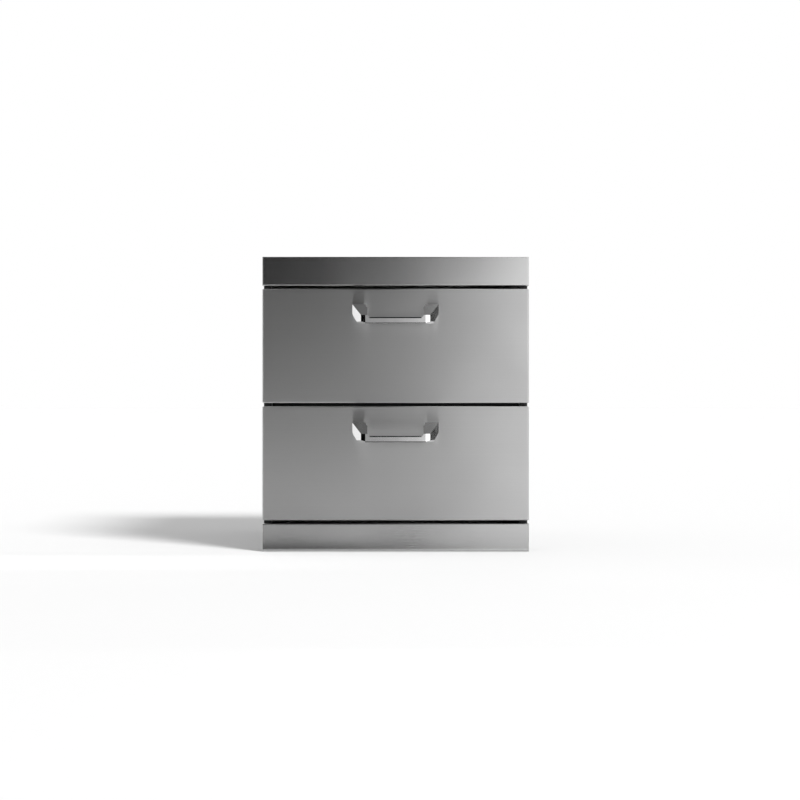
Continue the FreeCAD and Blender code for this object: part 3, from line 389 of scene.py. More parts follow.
@dataclass(frozen=True)
class PolishedSteel(Finish):
    """Mirror-polished cast steel of the handles."""

    shade: float = 0.86
    light: Triple = (1.0, 1.0, 0.995)
    dark: Triple = (0.95, 0.95, 0.955)
    roughness: float = 0.045
    haze_spread: float = 0.05
    hairline_spread: float = 0.04
    depth: float = 0.0002
    strength: float = 0.5
    haze: Noise = Noise(40.0, 3.0, 0.6)
    waves: Noise = Noise(55.0, 1.0, 0.4)
    hairlines: Noise = Noise(2.0, 2.0, 0.6, (30.0, 900.0, 900.0))

    def sockets(self, nodes: Nodes) -> dict[str, object]:
        """Haze in colour, haze and hairlines in roughness, soft waves in the normal.

        Args:
            nodes: The material's tree.

        Returns:
            Socket names and what goes there.
        """
        haze, waves, hairlines = map(nodes.noise, (self.haze, self.waves, self.hairlines))
        light, dark = tint(self.shade, self.light), tint(self.shade, self.dark)
        rough = haze * self.haze_spread + hairlines * self.hairline_spread
        return {
            "Metallic": 1.0,
            "Base Color": nodes.mix(haze, light, dark),
            "Roughness": rough + self.roughness,
            "Normal": nodes.bump(waves, self.depth, self.strength),
        }


@dataclass(frozen=True)
class ZincPlate(Finish):
    """Bright zinc plating of slides and cages, with faint rainbow patches."""

    shade: float = 0.55
    cool: Triple = (0.93, 0.97, 1.05)
    warm: Triple = (1.04, 1.01, 0.94)
    roughness: float = 0.3
    spangle_spread: float = 0.12
    drawn_spread: float = 0.1
    depth: float = 0.00002
    strength: float = 0.4
    patches: Noise = Noise(22.0, 3.0, 0.55)
    spangle: Noise = Noise(300.0)
    drawn: Noise = Noise(2.0, 3.0, 0.6, (400.0, 1.5, 400.0))

    def sockets(self, nodes: Nodes) -> dict[str, object]:
        """Patches in colour, spangle and drawing lines in roughness and normal.

        Args:
            nodes: The material's tree.

        Returns:
            Socket names and what goes there.
        """
        patches, spangle, drawn = map(nodes.noise, (self.patches, self.spangle, self.drawn))
        cool, warm = tint(self.shade, self.cool), tint(self.shade, self.warm)
        rough = spangle * self.spangle_spread + drawn * self.drawn_spread
        return {
            "Metallic": 1.0,
            "Base Color": nodes.mix(patches, cool, warm),
            "Roughness": rough + (self.roughness - self.drawn_spread),
            "Normal": nodes.bump(drawn, self.depth, self.strength),
        }


@dataclass(frozen=True)
class PaintedShadeCoat(Finish):
    """Matt near-black coat of the face frame, which shows in the gaps between the fronts; its
    darkness is painted shade for the deep cavity behind them.
    """

    # Near black: painted shade for the deep gaps between the fronts.
    shade: float = 0.022
    light: Triple = (1.5, 1.5, 1.55)
    dark: Triple = (0.8, 0.8, 0.8)
    gloss: float = 0.3
    roughness: float = 0.5
    cloud_spread: float = 0.15
    depth: float = 0.00003
    strength: float = 0.5
    skin: Noise = Noise(1400.0)
    clouds: Noise = Noise(35.0, 3.0, 0.6)

    def sockets(self, nodes: Nodes) -> dict[str, object]:
        """Clouds in colour and roughness, a fine skin in the normal.

        Args:
            nodes: The material's tree.

        Returns:
            Socket names and what goes there.
        """
        clouds = nodes.noise(self.clouds)
        light, dark = tint(self.shade, self.light), tint(self.shade, self.dark)
        return {
            "Metallic": 0.0,
            "Specular IOR Level": self.gloss,
            "Base Color": nodes.mix(clouds, dark, light),
            "Roughness": clouds * self.cloud_spread + self.roughness,
            "Normal": nodes.bump(nodes.noise(self.skin), self.depth, self.strength),
        }


@dataclass(frozen=True)
class Rubber(Finish):
    """Black moulded rubber."""

    black: Triple = (0.018, 0.018, 0.019)
    dusty: Triple = (0.045, 0.044, 0.042)
    roughness: float = 0.6
    dust_spread: float = 0.2
    depth: float = 0.00004
    strength: float = 0.5
    skin: Noise = Noise(1500.0)
    dust: Noise = Noise(90.0, 3.0, 0.6)

    def sockets(self, nodes: Nodes) -> dict[str, object]:
        """Dust in colour and roughness, a fine skin in the normal.

        Args:
            nodes: The material's tree.

        Returns:
            Socket names and what goes there.
        """
        dust = nodes.noise(self.dust)
        return {
            "Metallic": 0.0,
            "Base Color": nodes.mix(dust, (*self.black, 1), (*self.dusty, 1)),
            "Roughness": dust * self.dust_spread + self.roughness,
            "Normal": nodes.bump(nodes.noise(self.skin), self.depth, self.strength),
        }


@dataclass(frozen=True)
class PaleFloor(Finish):
    """Pale matt floor with a faint speckle."""

    shade: float = 0.885
    dark: Triple = (0.985, 0.985, 0.985)
    gloss: float = 0.1
    roughness: float = 0.9
    speckle: Noise = Noise(60.0, 3.0, 0.6)

    def sockets(self, nodes: Nodes) -> dict[str, object]:
        """A speckle in the colour.

        Args:
            nodes: The material's tree.

        Returns:
            Socket names and what goes there.
        """
        light, dark = tint(self.shade, PLAIN), tint(self.shade, self.dark)
        return {
            "Roughness": self.roughness,
            "Specular IOR Level": self.gloss,
            "Base Color": nodes.mix(nodes.noise(self.speckle), dark, light),
        }


@dataclass(frozen=True)
class Ring:
    """One ring of a lofted small piece: its radius, height and number of sides (0 is round)."""

    radius: float
    height: float
    sides: int = 0

    def points(self, count: int) -> list[Vector]:
        """Points of the ring.

        Args:
            count: Number of points.

        Returns:
            The points, about the Z axis.
        """
        points = []
        for i in range(count):
            turn = 2 * math.pi * i / count
            radius = self.radius
            if self.sides:
                step = 2 * math.pi / self.sides
                off = (turn % step) - step / 2
                radius = self.radius * math.cos(step / 2) / math.cos(off)
            points.append(Vector((radius * math.cos(turn), radius * math.sin(turn), self.height)))
        return points


class Mesh:
    """Collects the faces of one piece."""

    def __init__(self, name: str) -> None:
        """Starts an empty mesh."""
        self.name = name
        self.bm = bmesh.new()

    def wall(self, low: Sequence[bmesh.types.BMVert], high: Sequence[bmesh.types.BMVert]) -> None:
        """Joins two closed rows of points with faces.

        Args:
            low: Points of the first row.
            high: Points of the second row.
        """
        for i in range(len(low)):
            j = (i + 1) % len(low)
            self.bm.faces.new((low[i], low[j], high[j], high[i]))

    def loft(self, rings: Sequence[Ring], where: Matrix) -> None:
        """Adds a closed lofted piece through rings.

        Args:
            rings: Rings from the first end to the last.
            where: Place and turn of the piece.
        """
        rows = [[self.bm.verts.new(where @ p) for p in ring.points(ROUND_STEPS)] for ring in rings]
        for low, high in zip(rows, rows[1:]):
            self.wall(low, high)
        self.bm.faces.new(rows[0][::-1])
        self.bm.faces.new(rows[-1])

    def ball(self, centre: Vector, radius: float) -> None:
        """Adds a ball."""
        bmesh.ops.create_icosphere(
            self.bm, subdivisions=BALL_STEPS, radius=radius, matrix=Matrix.Translation(centre)
        )

    def prism(
        self, outline: Sequence[tuple[float, float]], where: Matrix, thickness: float
    ) -> None:
        """Adds a flat sheet of any outline.

        Args:
            outline: Corners in the sheet's own plane.
            where: Place and turn of the sheet.
            thickness: Thickness along the sheet's normal.
        """
        low = [self.bm.verts.new(where @ Vector((x, y, 0))) for x, y in outline]
        high = [self.bm.verts.new(where @ Vector((x, y, thickness))) for x, y in outline]
        self.bm.faces.new(low[::-1])
        self.bm.faces.new(high)
        self.wall(low, high)

    def finish(self, material: bpy.types.Material) -> bpy.types.Object:
        """Turns the faces into an object.

        Args:
            material: The piece's material.

        Returns:
            The new object.
        """
        bmesh.ops.recalc_face_normals(self.bm, faces=self.bm.faces[:])
        for face in self.bm.faces:
            face.smooth = True
        for edge in self.bm.edges:
            if len(edge.link_faces) == 2 and edge.calc_face_angle() > math.radians(SHARP_FROM):
                edge.smooth = False
        data = bpy.data.meshes.new(self.name)
        self.bm.to_mesh(data)
        self.bm.free()
        data.materials.append(material)
        piece = bpy.data.objects.new(self.name, data)
        bpy.context.scene.collection.objects.link(piece)
        return piece


def round_edges(piece: bpy.types.Object, width: float, segments: int, angle: float) -> None:
    """Rounds a piece's sharp edges with a modifier.

    Args:
        piece: The object.
        width: Width of the rounding.
        segments: Steps of the rounding.
        angle: Edges sharper than this many degrees are rounded.
    """
    bevel = piece.modifiers.new("edges", "BEVEL")
    bevel.width = width
    bevel.segments = segments
    bevel.limit_method = "ANGLE"
    bevel.angle_limit = math.radians(angle)
    bevel.harden_normals = True
    bevel.use_clamp_overlap = True


def dress(node: str, material: bpy.types.Material) -> bpy.types.Object:
    """Gives a carried-over solid its finish.

    Args:
        node: The solid's name.
        material: Its finish.

    Returns:
        The solid's object.
    """
    piece = frame["nodes"][node]
    for slot in piece.material_slots:
        slot.material = material
    if not piece.material_slots:
        piece.data.materials.append(material)
    log.info("%s wears %s", node, material.name)
    return piece


def keep(piece: bpy.types.Object, body: str, slot: str, *nodes: str) -> None:
    """Lets a piece ride on a body in place of solids.

    Args:
        piece: The piece.
        body: The body that carries it.
        slot: The record's material slot; not used.
        nodes: Solids that it stands for.
    """
    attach(piece, body)
    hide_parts(*nodes)
    log.info("%s rides on %s", piece.name, body)


@dataclass(frozen=True)
class Finishes:
    """All the unit's finishes."""

    front: bpy.types.Material
    upper_strip: bpy.types.Material
    lower_strip: bpy.types.Material
    cabinet: bpy.types.Material
    frame: bpy.types.Material
    tub: bpy.types.Material
    handle: bpy.types.Material
    slide: bpy.types.Material
    cage: bpy.types.Material
    ball: bpy.types.Material
    fastener: bpy.types.Material
    rubber: bpy.types.Material

    @classmethod
    def build(cls) -> "Finishes":
        """Makes every finish once.

        Returns:
            The finishes.
        """
        return cls(
            front=BrushedSteel("front_brushed").build(),
            # The strips are the fronts' brushed steel made darker, the lower one most, to set how
            # bright they reflect: painted shade.
            upper_strip=BrushedSteel(
                "upper_strip_brushed", shade=0.66, roughness=0.21, depth=0.000006
            ).build(),
            lower_strip=BrushedSteel(
                "lower_strip_brushed", shade=0.55, roughness=0.23, depth=0.000006
            ).build(),
            cabinet=MillSteel("cabinet_mill", shade=0.55, roughness=0.38).build(),
            # The face frame's near-black coat is painted shade for the deep gaps between the
            # fronts.
            frame=PaintedShadeCoat("frame_dark_coat").build(),
            # The tubs' mill steel is paler than the cabinet's to lighten the drawers' shaded
            # insides: painted light.
            tub=MillSteel("tub_mill", shade=0.68, roughness=0.42).build(),
            handle=PolishedSteel("handle_polished").build(),
            slide=ZincPlate("slide_zinc").build(),
            cage=ZincPlate("cage_zinc", shade=0.62, roughness=0.26).build(),
            ball=PolishedSteel("ball_polished", shade=0.8).build(),
            fastener=ZincPlate("fastener_steel", shade=0.6, roughness=0.24).build(),
            rubber=Rubber("bumper_rubber").build(),
        )


def facing(direction: Vector, spot: Vector) -> Matrix:
    """A place with its Z along a direction.

    Args:
        direction: Where Z points.
        spot: The origin.

    Returns:
        The matrix.
    """
    return Matrix.Translation(spot) @ direction.to_track_quat("Z", "Y").to_matrix().to_4x4()


@dataclass(frozen=True)
class Fixing:
    """A screw, rivet, nut or bumper: rings along the direction that it points."""

    rings: tuple[Ring, ...]

    def put(self, mesh: Mesh, spots: Iterable[Vector], direction: Vector) -> None:
        """Adds copies of the piece to a mesh.

        Args:
            mesh: The mesh.
            spots: Where the copies sit.
            direction: Where they point.
        """
        for spot in spots:
            mesh.loft(self.rings, facing(direction, spot))


def pan_screw(head: float, height: float, shank: float, length: float, recess: float) -> Fixing:
    """A low-headed screw with a six-sided recess.

    Args:
        head: Diameter of the head.
        height: Height of the head.
        shank: Diameter of the shank.
        length: Length of the shank.
        recess: Width of the recess across its corners.

    Returns:
        The screw.
    """
    rim, hole, pin = head / 2, recess / 2, shank / 2
    return Fixing(
        (
            Ring(hole * 0.9, -height * 0.45, HEXAGON),
            Ring(hole, -height * 0.5, HEXAGON),
            Ring(hole, -height * 0.96, HEXAGON),
            Ring(hole * 1.12, -height),
            Ring(rim * 0.72, -height * 0.98),
            Ring(rim * 0.9, -height * 0.84),
            Ring(rim * 0.98, -height * 0.6),
            Ring(rim, -height * 0.3),
            Ring(rim * 0.99, 0.0),
            Ring(pin, 0.0),
            Ring(pin, length - shank * 0.12),
            Ring(pin * 0.8, length),
        )
    )


def blind_rivet(head: float, height: float, shank: float, length: float) -> Fixing:
    """A domed rivet with its pin's broken end in the middle of the head.

    Args:
        head: Diameter of the head.
        height: Height of the head.
        shank: Diameter of the shank.
        length: Length of the shank.

    Returns:
        The rivet.
    """
    rim, pin = head / 2, shank * 0.28
    return Fixing(
        (
            Ring(pin * 0.4, -height * 0.62),
            Ring(pin, -height * 0.58),
            Ring(pin * 1.15, -height * 0.9),
            Ring(pin * 1.4, -height),
            Ring(rim * 0.55, -height * 0.95),
            Ring(rim * 0.78, -height * 0.76),
            Ring(rim * 0.93, -height * 0.48),
            Ring(rim, -height * 0.16),
            Ring(rim * 0.99, 0.0),
            Ring(shank / 2, 0.0),
            Ring(shank / 2, length),
        )
    )


@dataclass
class Camera:
    """The camera in front of the drawers."""

    distance: float = 3.3
    lens: float = 82.1
    sensor: float = 36.0
    across: float = 0.0080
    height: float = 0.2743

    def build(self) -> None:
        """Makes the camera and gives it to the scene."""
        data = bpy.data.cameras.new("camera")
        data.lens = self.lens
        data.sensor_width = self.sensor
        camera = bpy.data.objects.new("camera", data)
        camera.location = (self.across, FACE_Y - self.distance, self.height)
        camera.rotation_euler = (math.radians(90), 0, 0)
        bpy.context.scene.collection.objects.link(camera)
        bpy.context.scene.camera = camera


@dataclass(frozen=True)
class Card:
    """A shaded card that only the steel's reflections see."""

    name: str
    centre: Triple
    right: Triple
    up: Triple
    stops: Stops
    slant: float = 0.0
    power: float = 1.0

    def glow(self) -> bpy.types.Material:
        """Light that is shaded along the card's width and, where it slants, its height.

        Returns:
            The card's material.
        """
        right, up = Vector(self.right), Vector(self.up)
        material, nodes = start_material(self.name)
        off = nodes.vector("SUBTRACT", nodes.place(), self.centre)
        # Both run from -1 to 1 over the card.
        across = nodes.dot(off, right / right.length_squared)
        rise = nodes.dot(off, up / up.length_squared)
        shade = nodes.ramp((across + rise * self.slant) * 0.5 + 0.5, self.stops)
        light = nodes.add("ShaderNodeEmission", inputs={"Color": shade, "Strength": self.power})
        nodes.add("ShaderNodeOutputMaterial", inputs={"Surface": light})
        return material

    def build(self) -> None:
        """Makes the card and hides it from all but reflections."""
        mesh = Mesh(self.name)
        middle, right, up = Vector(self.centre), Vector(self.right), Vector(self.up)
        corners = (-right - up, right - up, right + up, up - right)
        mesh.bm.faces.new([mesh.bm.verts.new(middle + corner) for corner in corners])
        card = mesh.finish(self.glow())
        card.visible_camera = False
        card.visible_diffuse = False
        card.visible_transmission = False
        card.visible_shadow = False
        log.info("card %s", self.name)


@dataclass
class Studio:
    """Floor, daylight and the cards that the steel mirrors."""

    floor_half: float = 60.0
    floor_top: float = -0.0001
    floor_thickness: float = 0.0199
    sun_from: Triple = (0.5, -0.6, 0.62)
    sun_power: float = 3.0
    sun_spread: float = 18.0
    daylight: float = 0.55
    cards: tuple[Card, ...] = (
        Card(
            "front_card",
            centre=(0.0, -1.55, 0.7),
            right=(1.9, 0.0, 0.0),
            up=(0.0, 0.0, 0.8),
            stops=(
                (0.06, 0.6),
                (0.18, 0.35),
                (0.27, 0.0),
                (0.44, 0.01),
                (0.49, 0.03),
                (0.55, 0.12),
                (0.58, 0.27),
                (0.605, 0.68),
                (0.625, 1.0),
            ),
            slant=-0.3,
            power=1.75,
        ),
        Card(
            "upper_bar_card",
            centre=(0.0, -1.5, 0.46),
            right=(0.2, 0.0, 0.0),
            up=(0.0, 0.0, 0.1),
            stops=((0.0, 0.04), (0.22, 0.23), (0.45, 0.27), (0.6, 0.36), (0.74, 0.55), (1.0, 0.7)),
            power=1.35,
        ),
        Card(
            "lower_bar_card",
            centre=(0.0, -1.5, 0.16),
            right=(0.2, 0.0, 0.0),
            up=(0.0, 0.0, 0.1),
            stops=((0.0, 0.1), (0.22, 0.24), (0.45, 0.28), (0.6, 0.4), (0.74, 0.6), (1.0, 1.0)),
            power=1.35,
        ),
        Card(
            "dark_overhead_card",
            centre=(0.0, -0.28, 1.0),
            right=(0.14, 0.0, 0.0),
            up=(0.0, 0.08, 0.0),
            stops=((0.0, 0.0), (1.0, 0.0)),
        ),
        Card(
            "dark_corner_card",
            centre=(-0.66, -0.83, 0.3),
            right=(0.08, -0.089, 0.0),
            up=(0.0, 0.0, 0.26),
            stops=((0.0, 0.0), (1.0, 0.0)),
        ),
        Card(
            "overhead_card",
            centre=(0.0, -1.2, 2.4),
            right=(2.0, 0.0, 0.0),
            up=(0.0, 2.2, 0.0),
            stops=(
                (0.14, 0.9),
                (0.24, 0.5),
                (0.31, 0.0),
                (0.44, 0.0),
                (0.47, 0.12),
                (0.53, 0.16),
                (0.6, 1.0),
            ),
            slant=0.1,
            power=1.2,
        ),
        Card(
            "far_floor_card",
            centre=(0.0, -1.2, 0.004),
            right=(1.5, 0.0, 0.0),
            up=(0.0, 0.35, 0.0),
            stops=((0.38, 0.02), (0.45, 0.12), (0.55, 0.4), (0.7, 0.9)),
        ),
        Card(
            "middle_floor_card",
            centre=(0.0, -0.725, 0.004),
            right=(1.5, 0.0, 0.0),
            up=(0.0, 0.125, 0.0),
            stops=((0.35, 0.25), (0.5, 0.38), (0.56, 0.42), (0.59, 0.85)),
        ),
        Card(
            "bright_floor_card",
            centre=(0.0, -0.465, 0.004),
            right=(1.5, 0.0, 0.0),
            up=(0.0, 0.135, 0.0),
            stops=((0.38, 1.0), (0.44, 0.9), (0.5, 0.68), (0.58, 0.4)),
            power=1.55,
        ),
        Card(
            "near_floor_card",
            centre=(0.0, -0.293, 0.004),
            right=(1.5, 0.0, 0.0),
            up=(0.0, 0.037, 0.0),
            stops=((0.35, 0.1), (0.5, 0.14), (0.58, 0.35)),
        ),
        Card(
            "left_card",
            centre=(-2.0, -0.6, 0.9),
            right=(0.0, 1.2, 0.0),
            up=(0.0, 0.0, 1.1),
            stops=((0.25, 0.3), (0.3, 1.0), (0.6, 1.0), (0.68, 0.5)),
        ),
        Card(
            "right_card",
            centre=(2.2, -0.6, 0.9),
            right=(0.0, 1.2, 0.0),
            up=(0.0, 0.0, 1.1),
            stops=(
                (0.35, 1.0),
                (0.37, 0.02),
                (0.47, 0.02),
                (0.49, 1.0),
                (0.55, 1.0),
                (0.57, 0.02),
                (0.62, 0.7),
            ),
        ),
    )

    def build(self) -> None:
        """Makes the floor, the world, the sun and the cards."""
        bpy.context.scene.view_settings.view_transform = "Standard"
        self.world()
        self.floor()
        self.sun()
        for card in self.cards:
            card.build()

    def world(self) -> None:
        """White to the camera and to mirrors, softer as a light."""
        world = bpy.data.worlds.new("daylight")
        world.use_nodes = True
        bpy.context.scene.world = world
        nodes = Nodes(world.node_tree)
        rays = ("Is Camera Ray", "Is Glossy Ray", "Is Transmission Ray")
        camera, glossy, through = (nodes.add("ShaderNodeLightPath", output=ray) for ray in rays)
        strength = camera.most(glossy).most(through) * (1 - self.daylight) + self.daylight
        white = {"Color": (1, 1, 1, 1), "Strength": strength}
        back = nodes.add("ShaderNodeBackground", inputs=white)
        nodes.add("ShaderNodeOutputWorld", inputs={"Surface": back})

    def floor(self) -> None:
        """A wide pale floor that keeps the unit's shadow."""
        mesh = Mesh("floor")
        half = self.floor_half
        corners = [(-half, -half), (half, -half), (half, half), (-half, half)]
        where = Matrix.Translation((0, 0, self.floor_top - self.floor_thickness))
        mesh.prism(corners, where, self.floor_thickness)
        material = PaleFloor("floor_pale").build()
        mesh.finish(material)
        log.info("floor")

    def sun(self) -> None:
        """Soft light from the upper right."""
        data = bpy.data.lights.new("sun", "SUN")
        data.energy = self.sun_power
        data.angle = math.radians(self.sun_spread)
        lamp = bpy.data.objects.new("sun", data)
        lamp.rotation_euler = Vector(self.sun_from).to_track_quat("Z", "Y").to_euler()
        lamp.visible_glossy = False
        bpy.context.scene.collection.objects.link(lamp)


@dataclass
class Cabinet:
    """The fixed cabinet: sheets, face frame, strips, bumpers and rivets."""

    finishes: Finishes
    frame: tuple[str, ...] = ("left_stile", "right_stile", "top_rail", "bottom_rail", "mid_rail")
    sheets: tuple[str, ...] = (
        "left_side_panel",
        "right_side_panel",
        "base_panel",
        "top_panel",
        "back_panel",
    )
    rivet: Fixing = blind_rivet(head=6.4 * MM, height=1.4 * MM, shank=3.2 * MM, length=2.2 * MM)
    back_rivet: Fixing = blind_rivet(head=6.4 * MM, height=1.4 * MM, shank=3.2 * MM, length=MM)
    back_rivet_inset: float = 7 * MM
    back_rivet_rows: Triple = (60 * MM, 260 * MM, 460 * MM)
    bumper_half: float = 232.95 * MM
    bumper_y: float = FACE_Y + 25 * MM
    bumper_rises: tuple[float, float] = (20 * MM, 186.5 * MM)
    bumper: Fixing = Fixing(
        (
            Ring(3.9 * MM, 0.0),
            Ring(4.0 * MM, 0.4 * MM),
            Ring(3.9 * MM, 1.6 * MM),
            Ring(3.4 * MM, 2.5 * MM),
            Ring(2.2 * MM, 2.95 * MM),
            Ring(0.6 * MM, 3.0 * MM),
        )
    )

    def build(self) -> None:
        """Dresses the sheets and makes the small pieces."""
        for node in self.sheets:
            dress(node, self.finishes.cabinet)
        for node in self.frame:
            dress(node, self.finishes.frame)
        dress("top_fascia_strip", self.finishes.upper_strip)
        dress("bottom_fascia_strip", self.finishes.lower_strip)
        self.slide_rivets()
        self.back_rivets()
        for level in Level:
            self.bumpers(level)

    def slide_rivets(self) -> None:
        """Rivets that hold the slides."""
        mesh = Mesh("slide_rivet_heads")
        for hand in Hand:
            x = hand.value * CABINET_HALF
            heights = [level.value + SLIDE_RISE for level in Level]
            spots = [Vector((x, y, z)) for z in heights for y in RIVET_ROWS]
            self.rivet.put(mesh, spots, Vector((-hand.value, 0, 0)))
        piece = mesh.finish(self.finishes.fastener)
        keep(piece, "cabinet", "fastener_steel", "cabinet_slide_rivets")

    def back_rivets(self) -> None:
        """Rivets that hold the back panel."""
        mesh = Mesh("back_rivet_heads")
        half = CABINET_HALF - self.back_rivet_inset
        spots = [
            Vector((hand.value * half, BACK_Y, z)) for hand in Hand for z in self.back_rivet_rows
        ]
        self.back_rivet.put(mesh, spots, Vector((0, -1, 0)))
        piece = mesh.finish(self.finishes.fastener)
        keep(piece, "cabinet", "fastener_steel", "back_panel_rivets")

    def bumpers(self, level: Level) -> None:
        """Four domed bumpers behind one drawer front.

        Args:
            level: The drawer.
        """
        mesh = Mesh(f"{level.label}_rubber_buttons")
        spots = [
            Vector((hand.value * self.bumper_half, self.bumper_y, level.value + rise))
            for hand in Hand
            for rise in self.bumper_rises
        ]
        self.bumper.put(mesh, spots, Vector((0, -1, 0)))
        piece = mesh.finish(self.finishes.rubber)
        keep(piece, "cabinet", "bumper_rubber", f"{level.label}_bumpers")


@dataclass(frozen=True)
class Cage:
    """A ball cage's kind, and where it sits in its slide.

    Its middle lies so far behind the slide's front end. Its balls are so deep from the
    cabinet's inner wall, in rows so far above and below the slide's middle.
    """

    kind: CageKind
    place: float
    depth: float
    row: float


@dataclass
class Slide:
    """One telescopic slide: three members and two ball cages."""

    level: Level
    hand: Hand
    finishes: Finishes
    cages: tuple[Cage, ...] = (
        Cage(CageKind.OUTER, place=245 * MM, depth=2.85 * MM, row=20.05 * MM),
        Cage(CageKind.INNER, place=255 * MM, depth=7.35 * MM, row=17.05 * MM),
    )
    balls: int = 7
    ball: float = 3.2 * MM
    pitch: float = 80 * MM / 3
    sheet: float = 0.5 * MM
    length: float = 200 * MM
    notch_half: float = 1.7 * MM
    comb_depth: float = 1.475 * MM
    comb_edge: float = 21.4 * MM
    web_depth: float = 3.725 * MM
    flange_tip: float = 8.7 * MM
    flange_notch: float = 5.65 * MM
    flange_rise: float = 17.025 * MM

    def build(self) -> None:
        """Dresses the members and makes both cages."""
        for member in ("cabinet", "middle", "drawer"):
            dress(f"{self.level.label}_{self.hand.label}_{member}_rail", self.finishes.slide)
        for cage in self.cages:
            self.make_cage(cage)

    def make_cage(self, cage: Cage) -> None:
        """Makes one cage and its balls.

        Args:
            cage: The cage.
        """
        label = f"{self.level.label}_{self.hand.label}_{cage.kind.value}"
        body, node = f"{label}_cage", f"{label}_ball_cage"
        mesh = Mesh(f"{label}_cage_strip")
        if cage.kind is CageKind.OUTER:
            self.comb(mesh, cage)
        else:
            self.channel(mesh, cage)
        balls = Mesh(f"{label}_balls")
        for rise in (-cage.row, cage.row):
            for along in self.stations():
                balls.ball(self.spot(cage, cage.depth, rise, along), self.ball / 2)
        keep(mesh.finish(self.finishes.cage), body, "cage_steel", node)
        keep(balls.finish(self.finishes.ball), body, "cage_steel", node)

    def spot(self, cage: Cage, depth: float, rise: float = 0.0, along: float = 0.0) -> Vector:
        """A place in a cage.

        Args:
            cage: The cage.
            depth: Distance from the cabinet's inner wall.
            rise: Height above the slide's middle.
            along: Distance behind the cage's middle.

        Returns:
            The place.
        """
        x = self.hand.value * (ROOM_HALF - depth)
        return Vector((x, SLIDE_Y + cage.place + along, self.level.value + SLIDE_RISE + rise))

    def stations(self) -> list[float]:
        """The balls' places along the cage, from its middle."""
        return [(i - self.balls // 2) * self.pitch for i in range(self.balls)]

    def teeth(self, low: float, high: float) -> list[tuple[float, float]]:
        """An edge along the cage, notched for its balls.

        Args:
            low: Bottom of the notches.
            high: Level of the edge.

        Returns:
            Points of (distance along the cage, level).
        """
        points = [(-self.length / 2, high)]
        for along in self.stations():
            near, far = along - self.notch_half, along + self.notch_half
            points += [(near, high), (near, low), (far, low), (far, high)]
        return points + [(self.length / 2, high)]

    def upright(self) -> Matrix:
        """Turns a sheet to stand along the wall, its normal inwards."""
        return Matrix(((0, 0, -self.hand.value, 0), (1, 0, 0, 0), (0, 1, 0, 0), (0, 0, 0, 1)))

    def lying(self) -> Matrix:
        """Turns a sheet to lie flat, its second axis inwards."""
        return Matrix(((0, -self.hand.value, 0, 0), (1, 0, 0, 0), (0, 0, 1, 0), (0, 0, 0, 1)))

    def comb(self, mesh: Mesh, cage: Cage) -> None:
        """Adds the flat outer cage, notched above and below.

        Args:
            mesh: The cage's mesh.
            cage: The cage.
        """
        edge = self.teeth(cage.row - self.notch_half, self.comb_edge)
        outline = edge + [(y, -z) for y, z in edge[::-1]]
        spot = Matrix.Translation(self.spot(cage, self.comb_depth))
        mesh.prism(outline, spot @ self.upright(), self.sheet)

    def channel(self, mesh: Mesh, cage: Cage) -> None:
        """Adds the inner cage: a web with two notched flanges.

        Args:
            mesh: The cage's mesh.
            cage: The cage.
        """
        half, level = self.length / 2, self.flange_rise
        web = [(-half, -level), (half, -level), (half, level), (-half, level)]
        spot = Matrix.Translation(self.spot(cage, self.web_depth))
        mesh.prism(web, spot @ self.upright(), self.sheet)
        bend = self.web_depth + self.sheet
        flange = self.teeth(self.flange_notch, self.flange_tip) + [(half, bend), (-half, bend)]
        for rise in (level - self.sheet, -level):
            spot = Matrix.Translation(self.spot(cage, 0.0, rise))
            mesh.prism(flange, spot @ self.lying(), self.sheet)


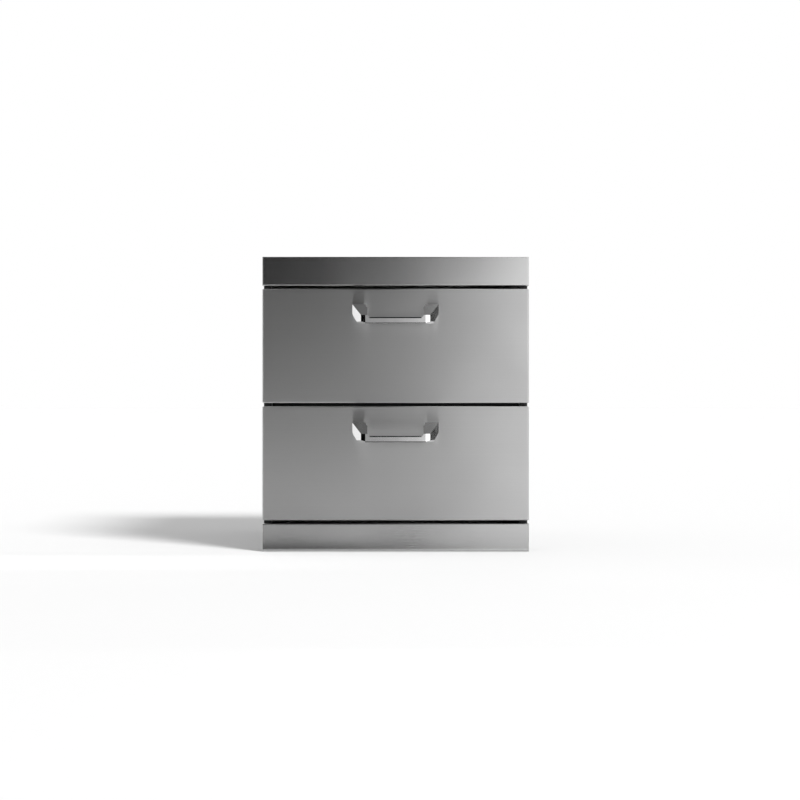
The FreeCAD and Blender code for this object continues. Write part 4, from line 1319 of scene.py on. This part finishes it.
@dataclass
class Drawer:
    """One drawer: tub, double-skinned front, handle and screws."""

    level: Level
    finishes: Finishes
    post_half: float = 67.5 * MM
    post_rise: float = 170.7 * MM
    screw_half: float = 150 * MM
    screw_rises: tuple[float, float] = (45 * MM, 125 * MM)
    sheet: float = 1 * MM
    handle_edge: float = 0.5 * MM
    handle_edge_steps: int = 3
    handle_edge_angle: float = 15.0
    handle_screw: Fixing = pan_screw(
        head=8 * MM, height=2.6 * MM, shank=4 * MM, length=29.8 * MM, recess=2.9 * MM
    )
    front_screw: Fixing = pan_screw(
        head=8 * MM, height=2.6 * MM, shank=4 * MM, length=5.2 * MM, recess=2.9 * MM
    )
    slide_screw: Fixing = pan_screw(
        head=6.4 * MM, height=1.4 * MM, shank=3.2 * MM, length=2.2 * MM, recess=2.3 * MM
    )
    nut: Fixing = Fixing(
        (
            Ring(3.6 * MM, 0.0),
            Ring(4.0 * MM, 0.3 * MM, HEXAGON),
            Ring(4.0 * MM, 2.9 * MM, HEXAGON),
            Ring(3.6 * MM, 3.2 * MM),
        )
    )

    def build(self) -> None:
        """Dresses the sheets and the handle and makes the fixings."""
        for part in ("tub", "front_wall", "back_wall", "liner"):
            dress(f"{self.level.label}_drawer_{part}", self.finishes.tub)
        dress(f"{self.level.label}_drawer_front", self.finishes.front)
        handle = dress(f"{self.level.label}_handle", self.finishes.handle)
        round_edges(handle, self.handle_edge, self.handle_edge_steps, self.handle_edge_angle)
        self.handle_bolts()
        self.front_bolts()
        self.slide_bolts()
        dress(f"{self.level.label}_handle_spacers", self.finishes.fastener)

    def attach(self, mesh: Mesh, node: str) -> None:
        """Lets fixings ride on the drawer in place of a solid.

        Args:
            mesh: The fixings.
            node: The solid's name, less the drawer's.
        """
        label = self.level.label
        piece = mesh.finish(self.finishes.fastener)
        keep(piece, f"{label}_drawer", "fastener_steel", f"{label}_{node}")

    def handle_bolts(self) -> None:
        """Screws from inside the front into the handle's posts."""
        mesh = Mesh(f"{self.level.label}_handle_bolts")
        z = self.level.value + self.post_rise
        spots = [Vector((hand.value * self.post_half, LINER_Y, z)) for hand in Hand]
        self.handle_screw.put(mesh, spots, Vector((0, -1, 0)))
        self.attach(mesh, "handle_screws")

    def front_bolts(self) -> None:
        """Screws from the tub's front wall into nuts inside the front."""
        mesh = Mesh(f"{self.level.label}_front_bolts_and_nuts")
        forwards = Vector((0, -1, 0))
        spots = [
            Vector((hand.value * self.screw_half, LINER_Y + self.sheet, self.level.value + rise))
            for hand in Hand
            for rise in self.screw_rises
        ]
        self.front_screw.put(mesh, spots, forwards)
        self.nut.put(mesh, [spot + forwards * 2 * self.sheet for spot in spots], forwards)
        self.attach(mesh, "front_screws_and_nuts")

    def slide_bolts(self) -> None:
        """Screws from inside the tub into the slides."""
        mesh = Mesh(f"{self.level.label}_slide_bolts")
        z = self.level.value + SLIDE_RISE
        for hand in Hand:
            x = hand.value * (TUB_HALF - self.sheet)
            spots = [Vector((x, y, z)) for y in RIVET_ROWS]
            self.slide_screw.put(mesh, spots, Vector((hand.value, 0, 0)))
        self.attach(mesh, "drawer_slide_screws")


def main() -> None:
    """Builds the studio, the cabinet, the drawers and their slides."""
    logging.basicConfig(level=logging.INFO, format="%(name)s: %(message)s")
    Camera().build()
    Studio().build()
    finishes = Finishes.build()
    Cabinet(finishes).build()
    for level in Level:
        Drawer(level, finishes).build()
        for hand in Hand:
            Slide(level, hand, finishes).build()


if __name__ == "__main__":
    main()
